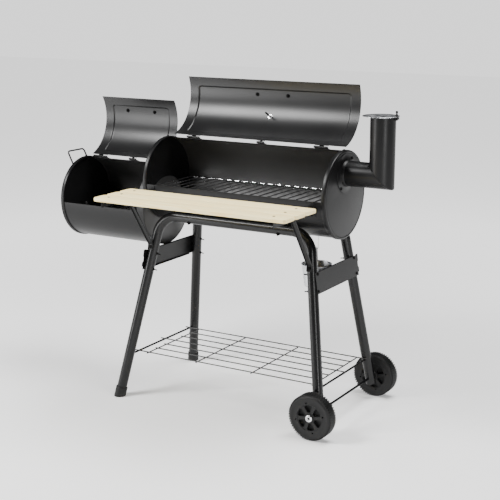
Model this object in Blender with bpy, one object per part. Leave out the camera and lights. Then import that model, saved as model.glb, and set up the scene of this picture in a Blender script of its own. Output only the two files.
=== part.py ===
"""Offset smoker: charcoal barrel smoker with side firebox. Metres, +X towards the chimney, +Z up."""

import math

import bmesh
import bpy
from mathutils import Matrix, Vector

# ---------------------------------------------------------------- driving dimensions
BARREL_R = 0.140  # outer radius of both barrels
SHEET = 0.0015  # sheet metal thickness
MAIN_L = 0.690  # cooking chamber length over its end caps
FIRE_L = 0.359  # firebox length over its end cap
MAIN_Z = 0.738  # height of the cooking chamber axis
FIRE_DROP = 0.096  # firebox axis below the cooking chamber axis
RIM_W = 0.0153  # width of the end cap rims
RIM_T = 0.0030  # how far the rims stand out from the shells
GAP = 0.0003  # clearance between touching pieces
CAP_SIDES = 44  # facets round an end cap
FRONT_DEG = 91.4  # front edge of the openings, from the top
REAR_DEG = 8.2  # rear edge of the openings, behind the top
LID_FRONT_DEG = 91.0  # front edge of the lids
LID_REAR_DEG = 7.5  # rear edge of the lids, behind the top
LID_GAP = 0.0008  # lid ends to cap rims
MAIN_OPEN = 158.0  # how far the cooking chamber lid stands open in the drawn pose
FIRE_OPEN = 150.0  # the same for the firebox lid
FIRE_RIGHT = 0.0270  # closed strip of the firebox beside the cooking chamber
PANEL_RISE = 0.0028  # how far the lids' pressed panel stands out
PANEL_IN = 0.034  # panel border at the lid ends
PANEL_DEG = 13.0  # panel border along the lid's front edge
PIN_DEG = 9.8  # hinge pin, behind the top
PIN_OUT = 0.0045  # hinge pin axis above the shell
PIN_R = 0.0016
KNUCKLE_R = 0.0036
LEAF_T = 0.0014  # hinge leaf thickness
MAIN_HINGES = ((-0.722, 0.050), (0.049, 0.027), (0.699, 0.050))  # place along half the length, and width
FIRE_HINGES = ((0.146, 0.060), (0.546, 0.030))  # place along the firebox from its outer end, and width
HANDLE_DEG = 69.7  # lid handles, from the top
HANDLE_HALF = 0.059  # half the distance between a lid handle's posts
HANDLE_OUT = 0.034  # grip axis out from the lid panel
HANDLE_BOLT_R = 0.003
GRIP_R = 0.0110
THERMO_DEG = 40.0  # thermometer, from the top
THERMO_R = 0.026
THERMO_STEM_R = 0.0045
TUBE_R = 0.017  # leg tubes
TUBE_WALL = 0.0012
RAIL_Y = 0.112  # rails under the barrel
LEG_IN_LEFT = 0.056  # leg corners, in from the cooking chamber's ends
LEG_IN_RIGHT = 0.065
BEND_R = 0.075
FOOT_SPREAD = 0.107  # feet, out from their leg corners along the barrel
FOOT_Y = 0.229
AXLE_SPREAD = 0.078  # axle, out from the right leg corners
AXLE_LEG_Y = 0.190
AXLE_R = 0.004
WHEEL_R = 0.0745
WHEEL_W = 0.046
WHEEL_FACE_Y = 0.2575
HUB_OUT = 0.0036  # hub caps, out from the wheel face
FLUE_R = 0.0400
FLUE_SIDES = 28  # facets of the chimney, its flange and its hole, in fours so that they line up
COLLAR_OUT = 0.024  # chimney flange, out from the pipe
FLUE_OUT = 0.123  # chimney axis, out from the cooking chamber's end
FLUE_RISE = 0.1863  # chimney top above the axis of its lower run
LUG_OUT = 0.0045  # damper pivot, out from the pipe's wall
DAMPER_R = 0.0577
DAMPER_BACK = 0.0075  # damper disc, back from the chimney axis
VENT_DROP = 0.030  # air vent below the firebox axis
VENT_RING = 0.031  # centres of the vent holes, from the vent's centre
VENT_HOLE_R = 0.011
VENT_R = 0.0495
CARRY_RISE = 0.059  # carry handle bar above its feet
CARRY_OUT = 0.040
CARRY_R = 0.0030
SHELF_DROP = 0.010  # shelf top below the cooking chamber axis
SHELF_OFF = 0.0635  # rear slat, out from the barrel
SLAT_W = 0.0635
SLAT_T = 0.012
SLAT_GAP = 0.0045
SLAT_OVER = 0.005  # slats past the cooking chamber's ends
ARM_W = 0.025
RACK_Z = 0.150
RACK_OVER = 0.009  # rack wires past the rods that carry them
WIRE = 0.0021  # rack wire radius
ROD = 0.0035  # rack rod radius
GRATE_DROP = 0.016  # cooking grate below the axis
CHAR_DROP = 0.055  # charcoal grate below the firebox axis
STRUT_DROP = 0.098  # bend of the shelf struts below the rail
BRACE_DROP = 0.1205  # top of the side braces below the rails
BRACE_H = 0.068
BUCKET_IN = 0.035  # bucket, in from the right leg corners
BUCKET_DROP = 0.095  # bucket rim below the barrel
BUCKET_R = 0.049
BUCKET_BASE_R = 0.040
BUCKET_H = 0.074
HOOK_L = 0.041  # barrel to the middle of the hook's bend
HOOK_R = 0.0050  # hook bend radius
BAIL_DEG = 30.8  # how far the bail is turned

MX = MAIN_L / 2
FX0 = -MX - FIRE_L  # outer face of the firebox end cap
FIRE_Z = MAIN_Z - FIRE_DROP
RAIL_Z = MAIN_Z - math.sqrt((BARREL_R + TUBE_R + GAP) ** 2 - RAIL_Y**2)
CORNER_XL = -MX + LEG_IN_LEFT
CORNER_XR = MX - LEG_IN_RIGHT
FOOT_X = CORNER_XL - FOOT_SPREAD
AXLE_X = CORNER_XR + AXLE_SPREAD
FLUE_X = MX + FLUE_OUT
FLUE_Z = MAIN_Z + BARREL_R / 2
FLUE_TOP = FLUE_Z + FLUE_RISE
PIVOT_X = FLUE_X + FLUE_R + LUG_OUT
LUG_END = PIVOT_X + 0.006
SHELF_TOP = MAIN_Z - SHELF_DROP
SHELF_FRONT = -(BARREL_R + SHELF_OFF + 3 * SLAT_W + 2 * SLAT_GAP)
VENT_Z = FIRE_Z - VENT_DROP
BRACE_Z = (RAIL_Z - BRACE_DROP - BRACE_H, RAIL_Z - BRACE_DROP)
BUCKET_X = CORNER_XR - BUCKET_IN
BUCKET_RIM_Z = MAIN_Z - BARREL_R - BUCKET_DROP
# The frame's origin is on the floor, in the middle of the overall length and depth.
LOW_X = FX0 - CARRY_OUT - CARRY_R
HIGH_Y = WHEEL_FACE_Y + HUB_OUT
SHIFT = Vector((-(LOW_X + LUG_END) / 2, -(SHELF_FRONT + HIGH_Y) / 2, 0.0))


# ---------------------------------------------------------------- materials
def material(name, rgb, metallic, rough):
    found = bpy.data.materials.get(name)
    if found:
        return found
    made = bpy.data.materials.new(name)
    made.use_nodes = True
    node = made.node_tree.nodes["Principled BSDF"]
    node.inputs["Base Color"].default_value = (*rgb, 1.0)
    node.inputs["Metallic"].default_value = metallic
    node.inputs["Roughness"].default_value = rough
    return made


BLACK = material("black_paint", (0.022, 0.022, 0.023), 0.0, 0.42)
TUBE_PAINT = material("gloss_black_paint", (0.018, 0.018, 0.019), 0.0, 0.28)
PLASTIC = material("black_plastic", (0.03, 0.03, 0.03), 0.0, 0.55)
ZINC = material("zinc_steel", (0.55, 0.55, 0.56), 1.0, 0.35)
CHROME = material("chrome_wire", (0.75, 0.75, 0.76), 1.0, 0.18)
PINE = material("pine", (0.80, 0.66, 0.44), 0.0, 0.6)
DIAL = material("dial_steel", (0.6, 0.6, 0.6), 1.0, 0.25)
GALV = material("galvanised_steel", (0.62, 0.63, 0.64), 1.0, 0.3)


# ---------------------------------------------------------------- mesh helpers
def make(verts, faces):
    """A mesh datablock with its faces turned outwards."""
    mesh = bpy.data.meshes.new("m")
    mesh.from_pydata([tuple(v) for v in verts], [], [tuple(f) for f in faces])
    bm = bmesh.new()
    bm.from_mesh(mesh)
    bmesh.ops.remove_doubles(bm, verts=bm.verts, dist=1e-6)
    bmesh.ops.recalc_face_normals(bm, faces=bm.faces)
    if bm.calc_volume(signed=True) < 0:
        bmesh.ops.reverse_faces(bm, faces=bm.faces)
    bm.to_mesh(mesh)
    bm.free()
    return mesh


def merged(meshes):
    """Several closed meshes that don't touch, as one datablock."""
    bm = bmesh.new()
    for mesh in meshes:
        bm.from_mesh(mesh)
    out = bpy.data.meshes.new("m")
    bm.to_mesh(out)
    bm.free()
    return out


def boolean(mesh, other, operation):
    """The mesh after one exact Boolean with another mesh."""
    a = bpy.data.objects.new("a", mesh)
    b = bpy.data.objects.new("b", other)
    bpy.context.scene.collection.objects.link(a)
    bpy.context.scene.collection.objects.link(b)
    mod = a.modifiers.new("op", "BOOLEAN")
    mod.object = b
    mod.operation = operation
    mod.solver = "EXACT"
    bpy.context.view_layer.update()
    graph = bpy.context.evaluated_depsgraph_get()
    out = bpy.data.meshes.new_from_object(a.evaluated_get(graph))
    bpy.data.objects.remove(a)
    bpy.data.objects.remove(b)
    bm = bmesh.new()
    bm.from_mesh(out)
    bmesh.ops.remove_doubles(bm, verts=bm.verts, dist=2e-6)
    bmesh.ops.dissolve_degenerate(bm, edges=bm.edges, dist=2e-6)
    bm.to_mesh(out)
    bm.free()
    return out


def union(meshes):
    out = meshes[0]
    for mesh in meshes[1:]:
        out = boolean(out, mesh, "UNION")
    return out


def cut(mesh, *cutters):
    for other in cutters:
        mesh = boolean(mesh, other, "DIFFERENCE")
    return mesh


def node(name, mesh, mat, origin=(0, 0, 0), smooth=40.0):
    """A named piece with its origin at the given point of the working frame."""
    origin = Vector(origin)
    mesh.transform(Matrix.Translation(-origin))
    mesh.name = name
    mesh.materials.clear()
    mesh.materials.append(mat)
    if smooth:
        mesh.shade_smooth()
        mesh.set_sharp_from_angle(angle=math.radians(smooth))
    else:
        mesh.shade_flat()
    obj = bpy.data.objects.new(name, mesh)
    obj.location = origin + SHIFT
    bpy.context.scene.collection.objects.link(obj)
    return obj


def loft(rings, ends=True, loop=False):
    """Rings of equally many points, joined by quads; ends are closed, or the rings form a loop."""
    n = len(rings[0])
    verts = [p for ring in rings for p in ring]
    faces = []
    count = len(rings)
    for i in range(count if loop else count - 1):
        j = (i + 1) % count
        for k in range(n):
            m = (k + 1) % n
            faces.append((i * n + k, i * n + m, j * n + m, j * n + k))
    if ends and not loop:
        faces.append(tuple(range(n)))
        faces.append(tuple((count - 1) * n + k for k in range(n)))
    return make(verts, faces)


def rounded(corners, bend, steps=6):
    """A path through the corners with each inner corner rounded to the bend radius."""
    pts = [Vector(c) for c in corners]
    out = [pts[0]]
    for i in range(1, len(pts) - 1):
        a = (pts[i - 1] - pts[i]).normalized()
        b = (pts[i + 1] - pts[i]).normalized()
        half = a.angle(b) / 2
        r = bend[i - 1] if isinstance(bend, (list, tuple)) else bend
        d = r / math.tan(half)
        centre = pts[i] + (a + b).normalized() * (r / math.sin(half))
        start = pts[i] + a * d - centre
        end = pts[i] + b * d - centre
        axis = start.cross(end).normalized()
        whole = start.angle(end)
        for k in range(steps + 1):
            out.append(centre + Matrix.Rotation(whole * k / steps, 3, axis) @ start)
    out.append(pts[-1])
    return out


def frames(path, up, closed=False):
    """Two unit vectors across the path at each of its points, carried along without twist."""
    n = len(path)
    tangents = []
    for i in range(n):
        before = path[(i - 1) % n] if closed or i else path[0]
        after = path[(i + 1) % n] if closed or i < n - 1 else path[-1]
        t = (path[i] - before).normalized() + (after - path[i]).normalized()
        tangents.append(t.normalized())
    u = Vector(up)
    out = []
    for i in range(n):
        u = (u - tangents[i] * u.dot(tangents[i])).normalized()
        stretch = 1.0
        if 0 < i < n - 1 or closed:
            seg = (path[(i + 1) % n] - path[i]).normalized()
            stretch = 1.0 / max(0.5, seg.dot(tangents[i]))
        out.append((u.copy(), tangents[i].cross(u), stretch, tangents[i]))
    return out


def tube(path, radius, n=12, wall=0.0, up=(0, 1, 0.03), closed=False, turn=0.0):
    """A round bar or, with a wall, an open pipe along the path."""
    path = [Vector(p) for p in path]
    cross = frames(path, up, closed)
    outer = []
    inner = []
    for p, (u, v, s, t) in zip(path, cross):
        a = [2 * math.pi * k / n + turn for k in range(n)]
        outer.append([p + (u * math.cos(x) + v * math.sin(x)) * radius for x in a])
        inner.append([p + (u * math.cos(x) + v * math.sin(x)) * (radius - wall) for x in a])
    if closed:
        return loft(outer, loop=True)
    if wall:
        return loft(outer + inner[::-1], loop=True)
    return loft(outer)


def flat_bar(path, width_dir, width, thick):
    """A flat strip along the path, in a plane across width_dir."""
    path = [Vector(p) for p in path]
    w = Vector(width_dir).normalized()
    rings = []
    for i, p in enumerate(path):
        a = (p - path[i - 1]).normalized() if i else (path[1] - p).normalized()
        b = (path[i + 1] - p).normalized() if i < len(path) - 1 else a
        t = (a + b).normalized()
        s = 1.0 / max(0.4, t.dot(b))
        nrm = t.cross(w).normalized() * (thick / 2 * s)
        h = w * (width / 2)
        rings.append([p - h - nrm, p + h - nrm, p + h + nrm, p - h + nrm])
    return loft(rings)


def lathe(profile, n, axis="X", centre=(0, 0, 0), turn=0.0):
    """A closed profile of (along, radius) turned about the axis; radius 0 points are on the axis."""
    c = Vector(centre)
    e = {"X": (Vector((1, 0, 0)), Vector((0, 1, 0)), Vector((0, 0, 1)))}
    e["Y"] = (Vector((0, 1, 0)), Vector((0, 0, 1)), Vector((1, 0, 0)))
    e["Z"] = (Vector((0, 0, 1)), Vector((1, 0, 0)), Vector((0, 1, 0)))
    t, u, v = e[axis] if isinstance(axis, str) else axis
    on_axis = profile[0][1] == 0 and profile[-1][1] == 0
    rings = []
    for along, r in profile[1:-1] if on_axis else profile:
        a = [2 * math.pi * k / n + turn for k in range(n)]
        rings.append([c + t * along + (u * math.cos(x) + v * math.sin(x)) * r for x in a])
    if not on_axis:
        return loft(rings, loop=True)
    verts = [p for ring in rings for p in ring]
    faces = []
    for i in range(len(rings) - 1):
        for k in range(n):
            m = (k + 1) % n
            faces.append((i * n + k, i * n + m, (i + 1) * n + m, (i + 1) * n + k))
    for row, along in ((0, profile[0][0]), (len(rings) - 1, profile[-1][0])):
        flat = abs((rings[row][0] - c).dot(t) - along) < 1e-7
        if flat:
            faces.append(tuple(row * n + k for k in range(n)))
            continue
        verts.append(c + t * along)
        faces += [(row * n + k, row * n + (k + 1) % n, len(verts) - 1) for k in range(n)]
    return make(verts, faces)


def rod_along(axis, radius, length, n, start):
    """A plain round bar from the start point along an axis."""
    return lathe([(0, 0), (0, radius), (length, radius), (length, 0)], n, axis, start)


def box(lo, hi):
    corners = [
        Vector((x, y, z)) for x in (lo[0], hi[0]) for y in (lo[1], hi[1]) for z in (lo[2], hi[2])
    ]
    faces = [(0, 1, 3, 2), (4, 6, 7, 5), (0, 4, 5, 1), (2, 3, 7, 6), (0, 2, 6, 4), (1, 5, 7, 3)]
    return make(corners, faces)


def prism(outline, lo, hi, place):
    """A flat outline pushed from lo to hi; place maps (a, b, height) to a point."""
    return loft([[place(a, b, lo) for a, b in outline], [place(a, b, hi) for a, b in outline]])


def yz(y, z, x):
    return Vector((x, y, z))


def around(r, deg, zc):
    """(y, z) at an angle from the top towards the front."""
    a = math.radians(deg)
    return -r * math.sin(a), zc + r * math.cos(a)


def shell(xs, degs, r_out, thick, zc, missing=None):
    """A rolled sheet: a grid over x and angle, with the missing cells left open."""
    nx, nt = len(xs), len(degs)
    whole = abs(degs[-1] - degs[0] - 360.0) < 1e-6
    verts = []
    for side in (0, 1):
        for i in range(nx):
            for j in range(nt):
                r = r_out(xs[i], degs[j]) if callable(r_out) else r_out
                y, z = around(r - thick * side, degs[j], zc)
                verts.append((xs[i], y, z))

    def at(side, i, j):
        return side * nx * nt + i * nt + (j % (nt - 1) if whole else j)

    present = {
        (i, j)
        for i in range(nx - 1)
        for j in range(nt - 1)
        if not (missing and missing((xs[i] + xs[i + 1]) / 2, (degs[j] + degs[j + 1]) / 2))
    }
    faces = []
    for i, j in present:
        quad = [(i, j), (i + 1, j), (i + 1, j + 1), (i, j + 1)]
        faces.append([at(0, *q) for q in quad])
        faces.append([at(1, *q) for q in quad[::-1]])
        around_cell = (
            ((i, j - 1), quad[0], quad[1]),
            ((i + 1, j), quad[1], quad[2]),
            ((i, j + 1), quad[2], quad[3]),
            ((i - 1, j), quad[3], quad[0]),
        )
        for (a, b), p, q in around_cell:
            if whole:
                b %= nt - 1
            if (a, b) not in present:
                faces.append([at(0, *q), at(0, *p), at(1, *p), at(1, *q)])
    used = sorted({v for f in faces for v in f})
    renumber = {v: k for k, v in enumerate(used)}
    return make([verts[v] for v in used], [[renumber[v] for v in f] for f in faces])


def spaced(lo, hi, n):
    return [lo + (hi - lo) * k / n for k in range(n + 1)]


for old in list(bpy.data.objects):
    bpy.data.objects.remove(old)

# ---------------------------------------------------------------- cooking chamber
END_IN = SHEET + GAP
main_degs = spaced(FRONT_DEG, 360 - REAR_DEG, 36)
node(
    "main_barrel",
    shell([-MX + END_IN, MX - END_IN], main_degs, BARREL_R, SHEET, MAIN_Z),
    BLACK,
)


def cap_profile(x_face, inwards):
    """End cap: a disc with a rim that slips over the shell."""
    s = inwards
    r = BARREL_R
    rim_in = (r + GAP) / math.cos(math.pi / CAP_SIDES)
    return [
        (x_face, 0),
        (x_face, r - 0.0045),
        (x_face + s * 0.0006, r - 0.0030),
        (x_face + s * 0.0006, r + 0.0008),
        (x_face + s * 0.0026, r + RIM_T),
        (x_face + s * RIM_W, r + RIM_T),
        (x_face + s * RIM_W, rim_in),
        (x_face + s * SHEET, rim_in),
        (x_face + s * SHEET, 0),
    ]


TRANSFER_Z = (MAIN_Z + FIRE_Z) / 2 - 0.004


def transfer_cutter():
    """The opening between firebox and cooking chamber."""
    wide = 0.646 * math.sqrt(BARREL_R**2 - (FIRE_DROP / 2) ** 2)
    high = 0.598 * (BARREL_R - FIRE_DROP / 2)
    outline = []
    for k in range(18):
        a = 2 * math.pi * k / 18
        outline.append((wide * math.cos(a), TRANSFER_Z + high * math.sin(a)))
    return prism(outline, -MX - 0.05, -MX + 0.05, yz)


cap = lathe(cap_profile(-MX, 1), CAP_SIDES, "X", (0, 0, MAIN_Z))
node("main_cap_left", cut(cap, transfer_cutter()), BLACK)
cap = lathe(cap_profile(MX, -1), CAP_SIDES, "X", (0, 0, MAIN_Z))
flue_hole = rod_along("X", FLUE_R + GAP, 0.1, FLUE_SIDES, (MX - 0.05, 0, FLUE_Z))
node("main_cap_right", cut(cap, flue_hole), BLACK)

# ---------------------------------------------------------------- firebox
FIRE_END = -MX - GAP
open_x = (FX0 + RIM_W, -MX - FIRE_RIGHT)
fire_degs = spaced(-REAR_DEG, FRONT_DEG, 14) + spaced(FRONT_DEG, 360 - REAR_DEG, 36)[1:]
node(
    "firebox_barrel",
    shell(
        [FX0 + END_IN, open_x[0] - 0.002, open_x[1], FIRE_END],
        fire_degs,
        BARREL_R,
        SHEET,
        FIRE_Z,
        lambda x, d: x < open_x[1] and d < FRONT_DEG,
    ),
    BLACK,
)
cap = lathe(cap_profile(FX0, 1), CAP_SIDES, "X", (0, 0, FIRE_Z))


def vent_holes(turn):
    """Cutters for the four air holes, turned by some degrees, and for the rivet."""
    holes = []
    for k in range(4):
        a = math.radians(90 * k + turn)
        c = (FX0 - 0.02, -VENT_RING * math.sin(a), VENT_Z + VENT_RING * math.cos(a))
        holes.append(rod_along("X", VENT_HOLE_R, 0.04, 12, c))
    holes.append(rod_along("X", 0.0028 + GAP, 0.04, 12, (FX0 - 0.02, 0, VENT_Z)))
    return merged(holes)


node("firebox_cap_left", cut(cap, vent_holes(0)), BLACK)
inner_cap = lathe(
    [
        (FIRE_END, 0),
        (FIRE_END, BARREL_R - SHEET - 2 * GAP),
        (FIRE_END - 0.016, BARREL_R - SHEET - 2 * GAP),
        (FIRE_END - 0.016, BARREL_R - 2 * SHEET - 2 * GAP),
        (FIRE_END - SHEET, BARREL_R - 2 * SHEET - 2 * GAP),
        (FIRE_END - SHEET, 0),
    ],
    CAP_SIDES,
    "X",
    (0, 0, FIRE_Z),
)
node("firebox_cap_inner", cut(inner_cap, transfer_cutter()), BLACK)


# ---------------------------------------------------------------- lids
def pin_at(zc):
    y, z = around(BARREL_R + PIN_OUT, -PIN_DEG, zc)
    return Vector((0, y, z))


def opened(mesh, zc, deg):
    """Turns a mesh drawn with the lid shut to the drawn pose."""
    p = pin_at(zc)
    turn = Matrix.Rotation(math.radians(-deg), 4, "X")
    mesh.transform(Matrix.Translation(p) @ turn @ Matrix.Translation(-p))
    return mesh


def lid_mesh(x0, x1, zc):
    """A rolled lid with a pressed panel and, in it, a plain border."""
    bx = PANEL_IN
    bt = PANEL_DEG
    xs = [x0, x0 + bx, x0 + bx + 0.004, x1 - bx - 0.004, x1 - bx, x1]
    lo, hi = -LID_REAR_DEG, LID_FRONT_DEG
    degs = [lo, lo + 4.0, lo + 8.5, lo + 10.2]
    degs += spaced(lo + 10.2, hi - bt - 1.7, 14)[1:]
    degs += [hi - bt, hi - 6.0, hi]

    def radius(x, d):
        inside = xs[1] < x < xs[4] and lo + 8.6 < d < hi - bt - 0.01
        return BARREL_R + (PANEL_RISE if inside else 0.0)

    return shell(xs, degs, radius, SHEET, zc)


def hinge_leaves(name, x, width, zc, deg):
    """A leaf on the shell that carries the pin, and a leaf on the lid with the middle knuckle."""
    p = pin_at(zc)
    third = width / 3

    def ring(r, n=10):
        turns = [2 * math.pi * k / n for k in range(n)]
        return [(p.y + r * math.cos(a), p.z + r * math.sin(a)) for a in turns]

    def strip(d0, d1, r0, r1):
        return shell([x - width / 2, x + width / 2], spaced(d0, d1, 3), r1, r1 - r0, zc)

    ra = BARREL_R + GAP
    rb = ra + LEAF_T
    fixed = strip(-PIN_DEG - 11.0, -PIN_DEG - 1.9, ra, rb)
    web_in = around(BARREL_R + 0.0008, -PIN_DEG - 4.2, zc)
    web_up = around(BARREL_R + 0.0016, -PIN_DEG - 4.2, zc)
    parts = [fixed]
    for side in (-1, 1):
        lo = x + side * (width / 2 - third + 0.0004) if side > 0 else x - width / 2
        hi = lo + third - 0.0004
        parts.append(prism(ring(KNUCKLE_R), lo, hi, yz))
        tangent = around(BARREL_R + PIN_OUT + 0.0022, -PIN_DEG - 0.6, zc)
        base = around(BARREL_R + PIN_OUT - 0.0022, -PIN_DEG - 0.6, zc)
        parts.append(prism([web_in, base, tangent, web_up], lo + 0.0002, hi - 0.0002, yz))
    parts.append(prism(ring(PIN_R, 8), x - width / 2 + 0.001, x + width / 2 - 0.001, yz))
    node(name + "_fixed_leaf", union(parts), BLACK)

    moving = strip(-LID_REAR_DEG + 0.4, 1.0, ra, rb)
    lo = x - width / 2 + third + 0.0004
    hi = x + width / 2 - third - 0.0004
    knuckle = prism(ring(KNUCKLE_R), lo, hi, yz)
    a = around(BARREL_R + 0.0008, -LID_REAR_DEG + 2.6, zc)
    b = around(BARREL_R + 0.0016, -LID_REAR_DEG + 2.6, zc)
    c = around(BARREL_R + PIN_OUT + 0.0024, -PIN_DEG + 0.5, zc)
    d = around(BARREL_R + PIN_OUT - 0.0018, -PIN_DEG + 1.0, zc)
    web = prism([a, d, c, b], lo + 0.0002, hi - 0.0002, yz)
    mesh = cut(union([moving, knuckle, web]), prism(ring(PIN_R + GAP, 8), lo - 0.01, hi + 0.01, yz))
    node(name + "_lid_leaf", opened(mesh, zc, deg), BLACK, p)


main_x = (-MX + RIM_W + LID_GAP, MX - RIM_W - LID_GAP)
fire_x = (FX0 + RIM_W + LID_GAP, -MX - FIRE_RIGHT - LID_GAP)


def radial_axes(deg):
    """The outward direction at an angle from the top, and two directions across it."""
    a = math.radians(deg)
    t = Vector((0, -math.sin(a), math.cos(a)))
    u = Vector((1, 0, 0))
    return t, u, t.cross(u)


def radial_pin(zc, x, deg, r0, r1, radius, n=12):
    """A straight pin along a radius of the barrel."""
    profile = [(r0, 0), (r0, radius), (r1, radius), (r1, 0)]
    return lathe(profile, n, radial_axes(deg), (x, 0, zc))


def lid_holes(zc, x, thermo):
    """The bolt holes of a lid's handle and, on one lid, the thermometer's hole."""
    r0 = BARREL_R - 0.02
    r1 = BARREL_R + 0.02
    made = [radial_pin(zc, x + s * HANDLE_HALF, HANDLE_DEG, r0, r1, HANDLE_BOLT_R + GAP) for s in (-1, 1)]
    if thermo:
        made.append(radial_pin(zc, x, THERMO_DEG, r0, r1, THERMO_STEM_R + GAP))
    return merged(made)


lid = cut(lid_mesh(main_x[0], main_x[1], MAIN_Z), lid_holes(MAIN_Z, 0.0, True))
node("main_lid", opened(lid, MAIN_Z, MAIN_OPEN), BLACK, pin_at(MAIN_Z))
FIRE_MID = (fire_x[0] + fire_x[1]) / 2
lid = cut(lid_mesh(fire_x[0], fire_x[1], FIRE_Z), lid_holes(FIRE_Z, FIRE_MID, False))
node("firebox_lid", opened(lid, FIRE_Z, FIRE_OPEN), BLACK, pin_at(FIRE_Z))


def lid_handle(name, x, zc, deg_open, apart):
    """Two posts through the lid and a grip bar between them."""
    base = BARREL_R + PANEL_RISE
    top = base + HANDLE_OUT
    posts = []
    for s in (-1, 1):
        px = x + s * HANDLE_HALF
        posts.append(radial_pin(zc, px, HANDLE_DEG, BARREL_R - 0.006, top, HANDLE_BOLT_R))
        posts.append(radial_pin(zc, px, HANDLE_DEG, base + GAP, top - GRIP_R - 0.001, 0.006))
    left_post = union(posts[:2])
    right_post = union(posts[2:])
    y, z = around(top, HANDLE_DEG, zc)
    w = HANDLE_HALF + 0.020
    profile = [
        (-w, 0),
        (-w, 0.59 * GRIP_R),
        (-w + 0.003, 0.86 * GRIP_R),
        (-w * 0.5, GRIP_R),
        (w * 0.5, GRIP_R),
        (w - 0.003, 0.86 * GRIP_R),
        (w, 0.59 * GRIP_R),
        (w, 0),
    ]
    grip = lathe(profile, 12, "X", (x, y, z))
    if not apart:
        made = union([grip, left_post, right_post])
        node(name, opened(made, zc, deg_open), PLASTIC, pin_at(zc))
        return
    sockets = []
    for s in (-1, 1):
        px = x + s * HANDLE_HALF
        sockets.append(radial_pin(zc, px, HANDLE_DEG, base + 0.01, top + 0.0005, HANDLE_BOLT_R + GAP))
    node(name + "_grip", opened(cut(grip, merged(sockets)), zc, deg_open), PLASTIC, pin_at(zc))
    node(name + "_post_left", opened(left_post, zc, deg_open), ZINC, pin_at(zc))
    node(name + "_post_right", opened(right_post, zc, deg_open), ZINC, pin_at(zc))


lid_handle("main_handle", 0.0, MAIN_Z, MAIN_OPEN, True)
lid_handle("firebox_handle", FIRE_MID, FIRE_Z, FIRE_OPEN, False)
face = BARREL_R + PANEL_RISE
thermo = lathe(
    [
        (BARREL_R - 0.034, 0),
        (BARREL_R - 0.034, 0.0030),
        (BARREL_R - 0.006, 0.0030),
        (BARREL_R - 0.006, THERMO_STEM_R),
        (face + GAP, THERMO_STEM_R),
        (face + GAP, 0.012),
        (face + 0.004, THERMO_R - 0.0020),
        (face + 0.012, THERMO_R),
        (face + 0.014, THERMO_R - 0.0015),
        (face + 0.0125, THERMO_R - 0.0035),
        (face + 0.0125, 0),
    ],
    18,
    radial_axes(THERMO_DEG),
    (0, 0, MAIN_Z),
)
node("thermometer", opened(thermo, MAIN_Z, MAIN_OPEN), DIAL, pin_at(MAIN_Z))
for which, (share, width) in zip(("left", "middle", "right"), MAIN_HINGES):
    hinge_leaves(f"main_hinge_{which}", share * MX, width, MAIN_Z, MAIN_OPEN)
for which, (share, width) in zip(("left", "right"), FIRE_HINGES):
    hinge_leaves(f"firebox_hinge_{which}", FX0 + share * FIRE_L, width, FIRE_Z, FIRE_OPEN)

# ---------------------------------------------------------------- chimney
outer = []
inner = []
for stage in (0, 1, 2):
    ring_o = []
    ring_i = []
    for k in range(FLUE_SIDES):
        a = 2 * math.pi * k / FLUE_SIDES
        for r, out in ((FLUE_R, ring_o), (FLUE_R - SHEET, ring_i)):
            s, c = r * math.sin(a), r * math.cos(a)
            if stage == 0:
                out.append(Vector((MX - 0.010, s, FLUE_Z + c)))
            elif stage == 1:
                out.append(Vector((FLUE_X - c, s, FLUE_Z + c)))
            else:
                out.append(Vector((FLUE_X - c, s, FLUE_TOP)))
    outer.append(ring_o)
    inner.append(ring_i)
lug = box((FLUE_X + FLUE_R - 0.0008, -0.006, FLUE_TOP - 0.0075), (LUG_END, 0.006, FLUE_TOP - 0.0005))
pivot_hole = rod_along("Z", 0.0020 + GAP, 0.03, 12, (PIVOT_X, 0, FLUE_TOP - 0.015))
pipe = union([loft(outer + inner[::-1], loop=True), lug])
node("chimney_pipe", cut(pipe, pivot_hole), BLACK)
collar = lathe(
    [
        (MX + GAP, FLUE_R + GAP),
        (MX + GAP, FLUE_R + COLLAR_OUT),
        (MX + GAP + 0.0016, FLUE_R + COLLAR_OUT),
        (MX + GAP + 0.0018, FLUE_R + 0.0035),
        (MX + GAP + 0.012, FLUE_R + 0.0022),
        (MX + GAP + 0.012, FLUE_R + GAP),
    ],
    FLUE_SIDES,
    "X",
    (0, 0, FLUE_Z),
)
node("chimney_collar", collar, BLACK)
disc = lathe(
    [
        (FLUE_TOP + GAP, 0),
        (FLUE_TOP + GAP, DAMPER_R),
        (FLUE_TOP + GAP + 0.0012, DAMPER_R),
        (FLUE_TOP + GAP + 0.0012, 0),
    ],
    28,
    "Z",
    (FLUE_X - DAMPER_BACK, 0, 0),
)
pivot = (PIVOT_X, 0, FLUE_TOP)
node("chimney_damper", cut(disc, pivot_hole), GALV, pivot)
knob = [
    (-0.0105, 0),
    (-0.0105, 0.0036),
    (-0.0080, 0.0036),
    (-0.0080, 0.0020),
    (GAP * 2 + 0.0012, 0.0020),
    (GAP * 2 + 0.0012, 0.0044),
    (0.0040, 0.0044),
    (0.0105, 0.0026),
    (0.0150, 0.0040),
    (0.0180, 0.0034),
    (0.0192, 0),
]
node("damper_knob", lathe(knob, 10, "Z", pivot), PLASTIC, pivot)

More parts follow.
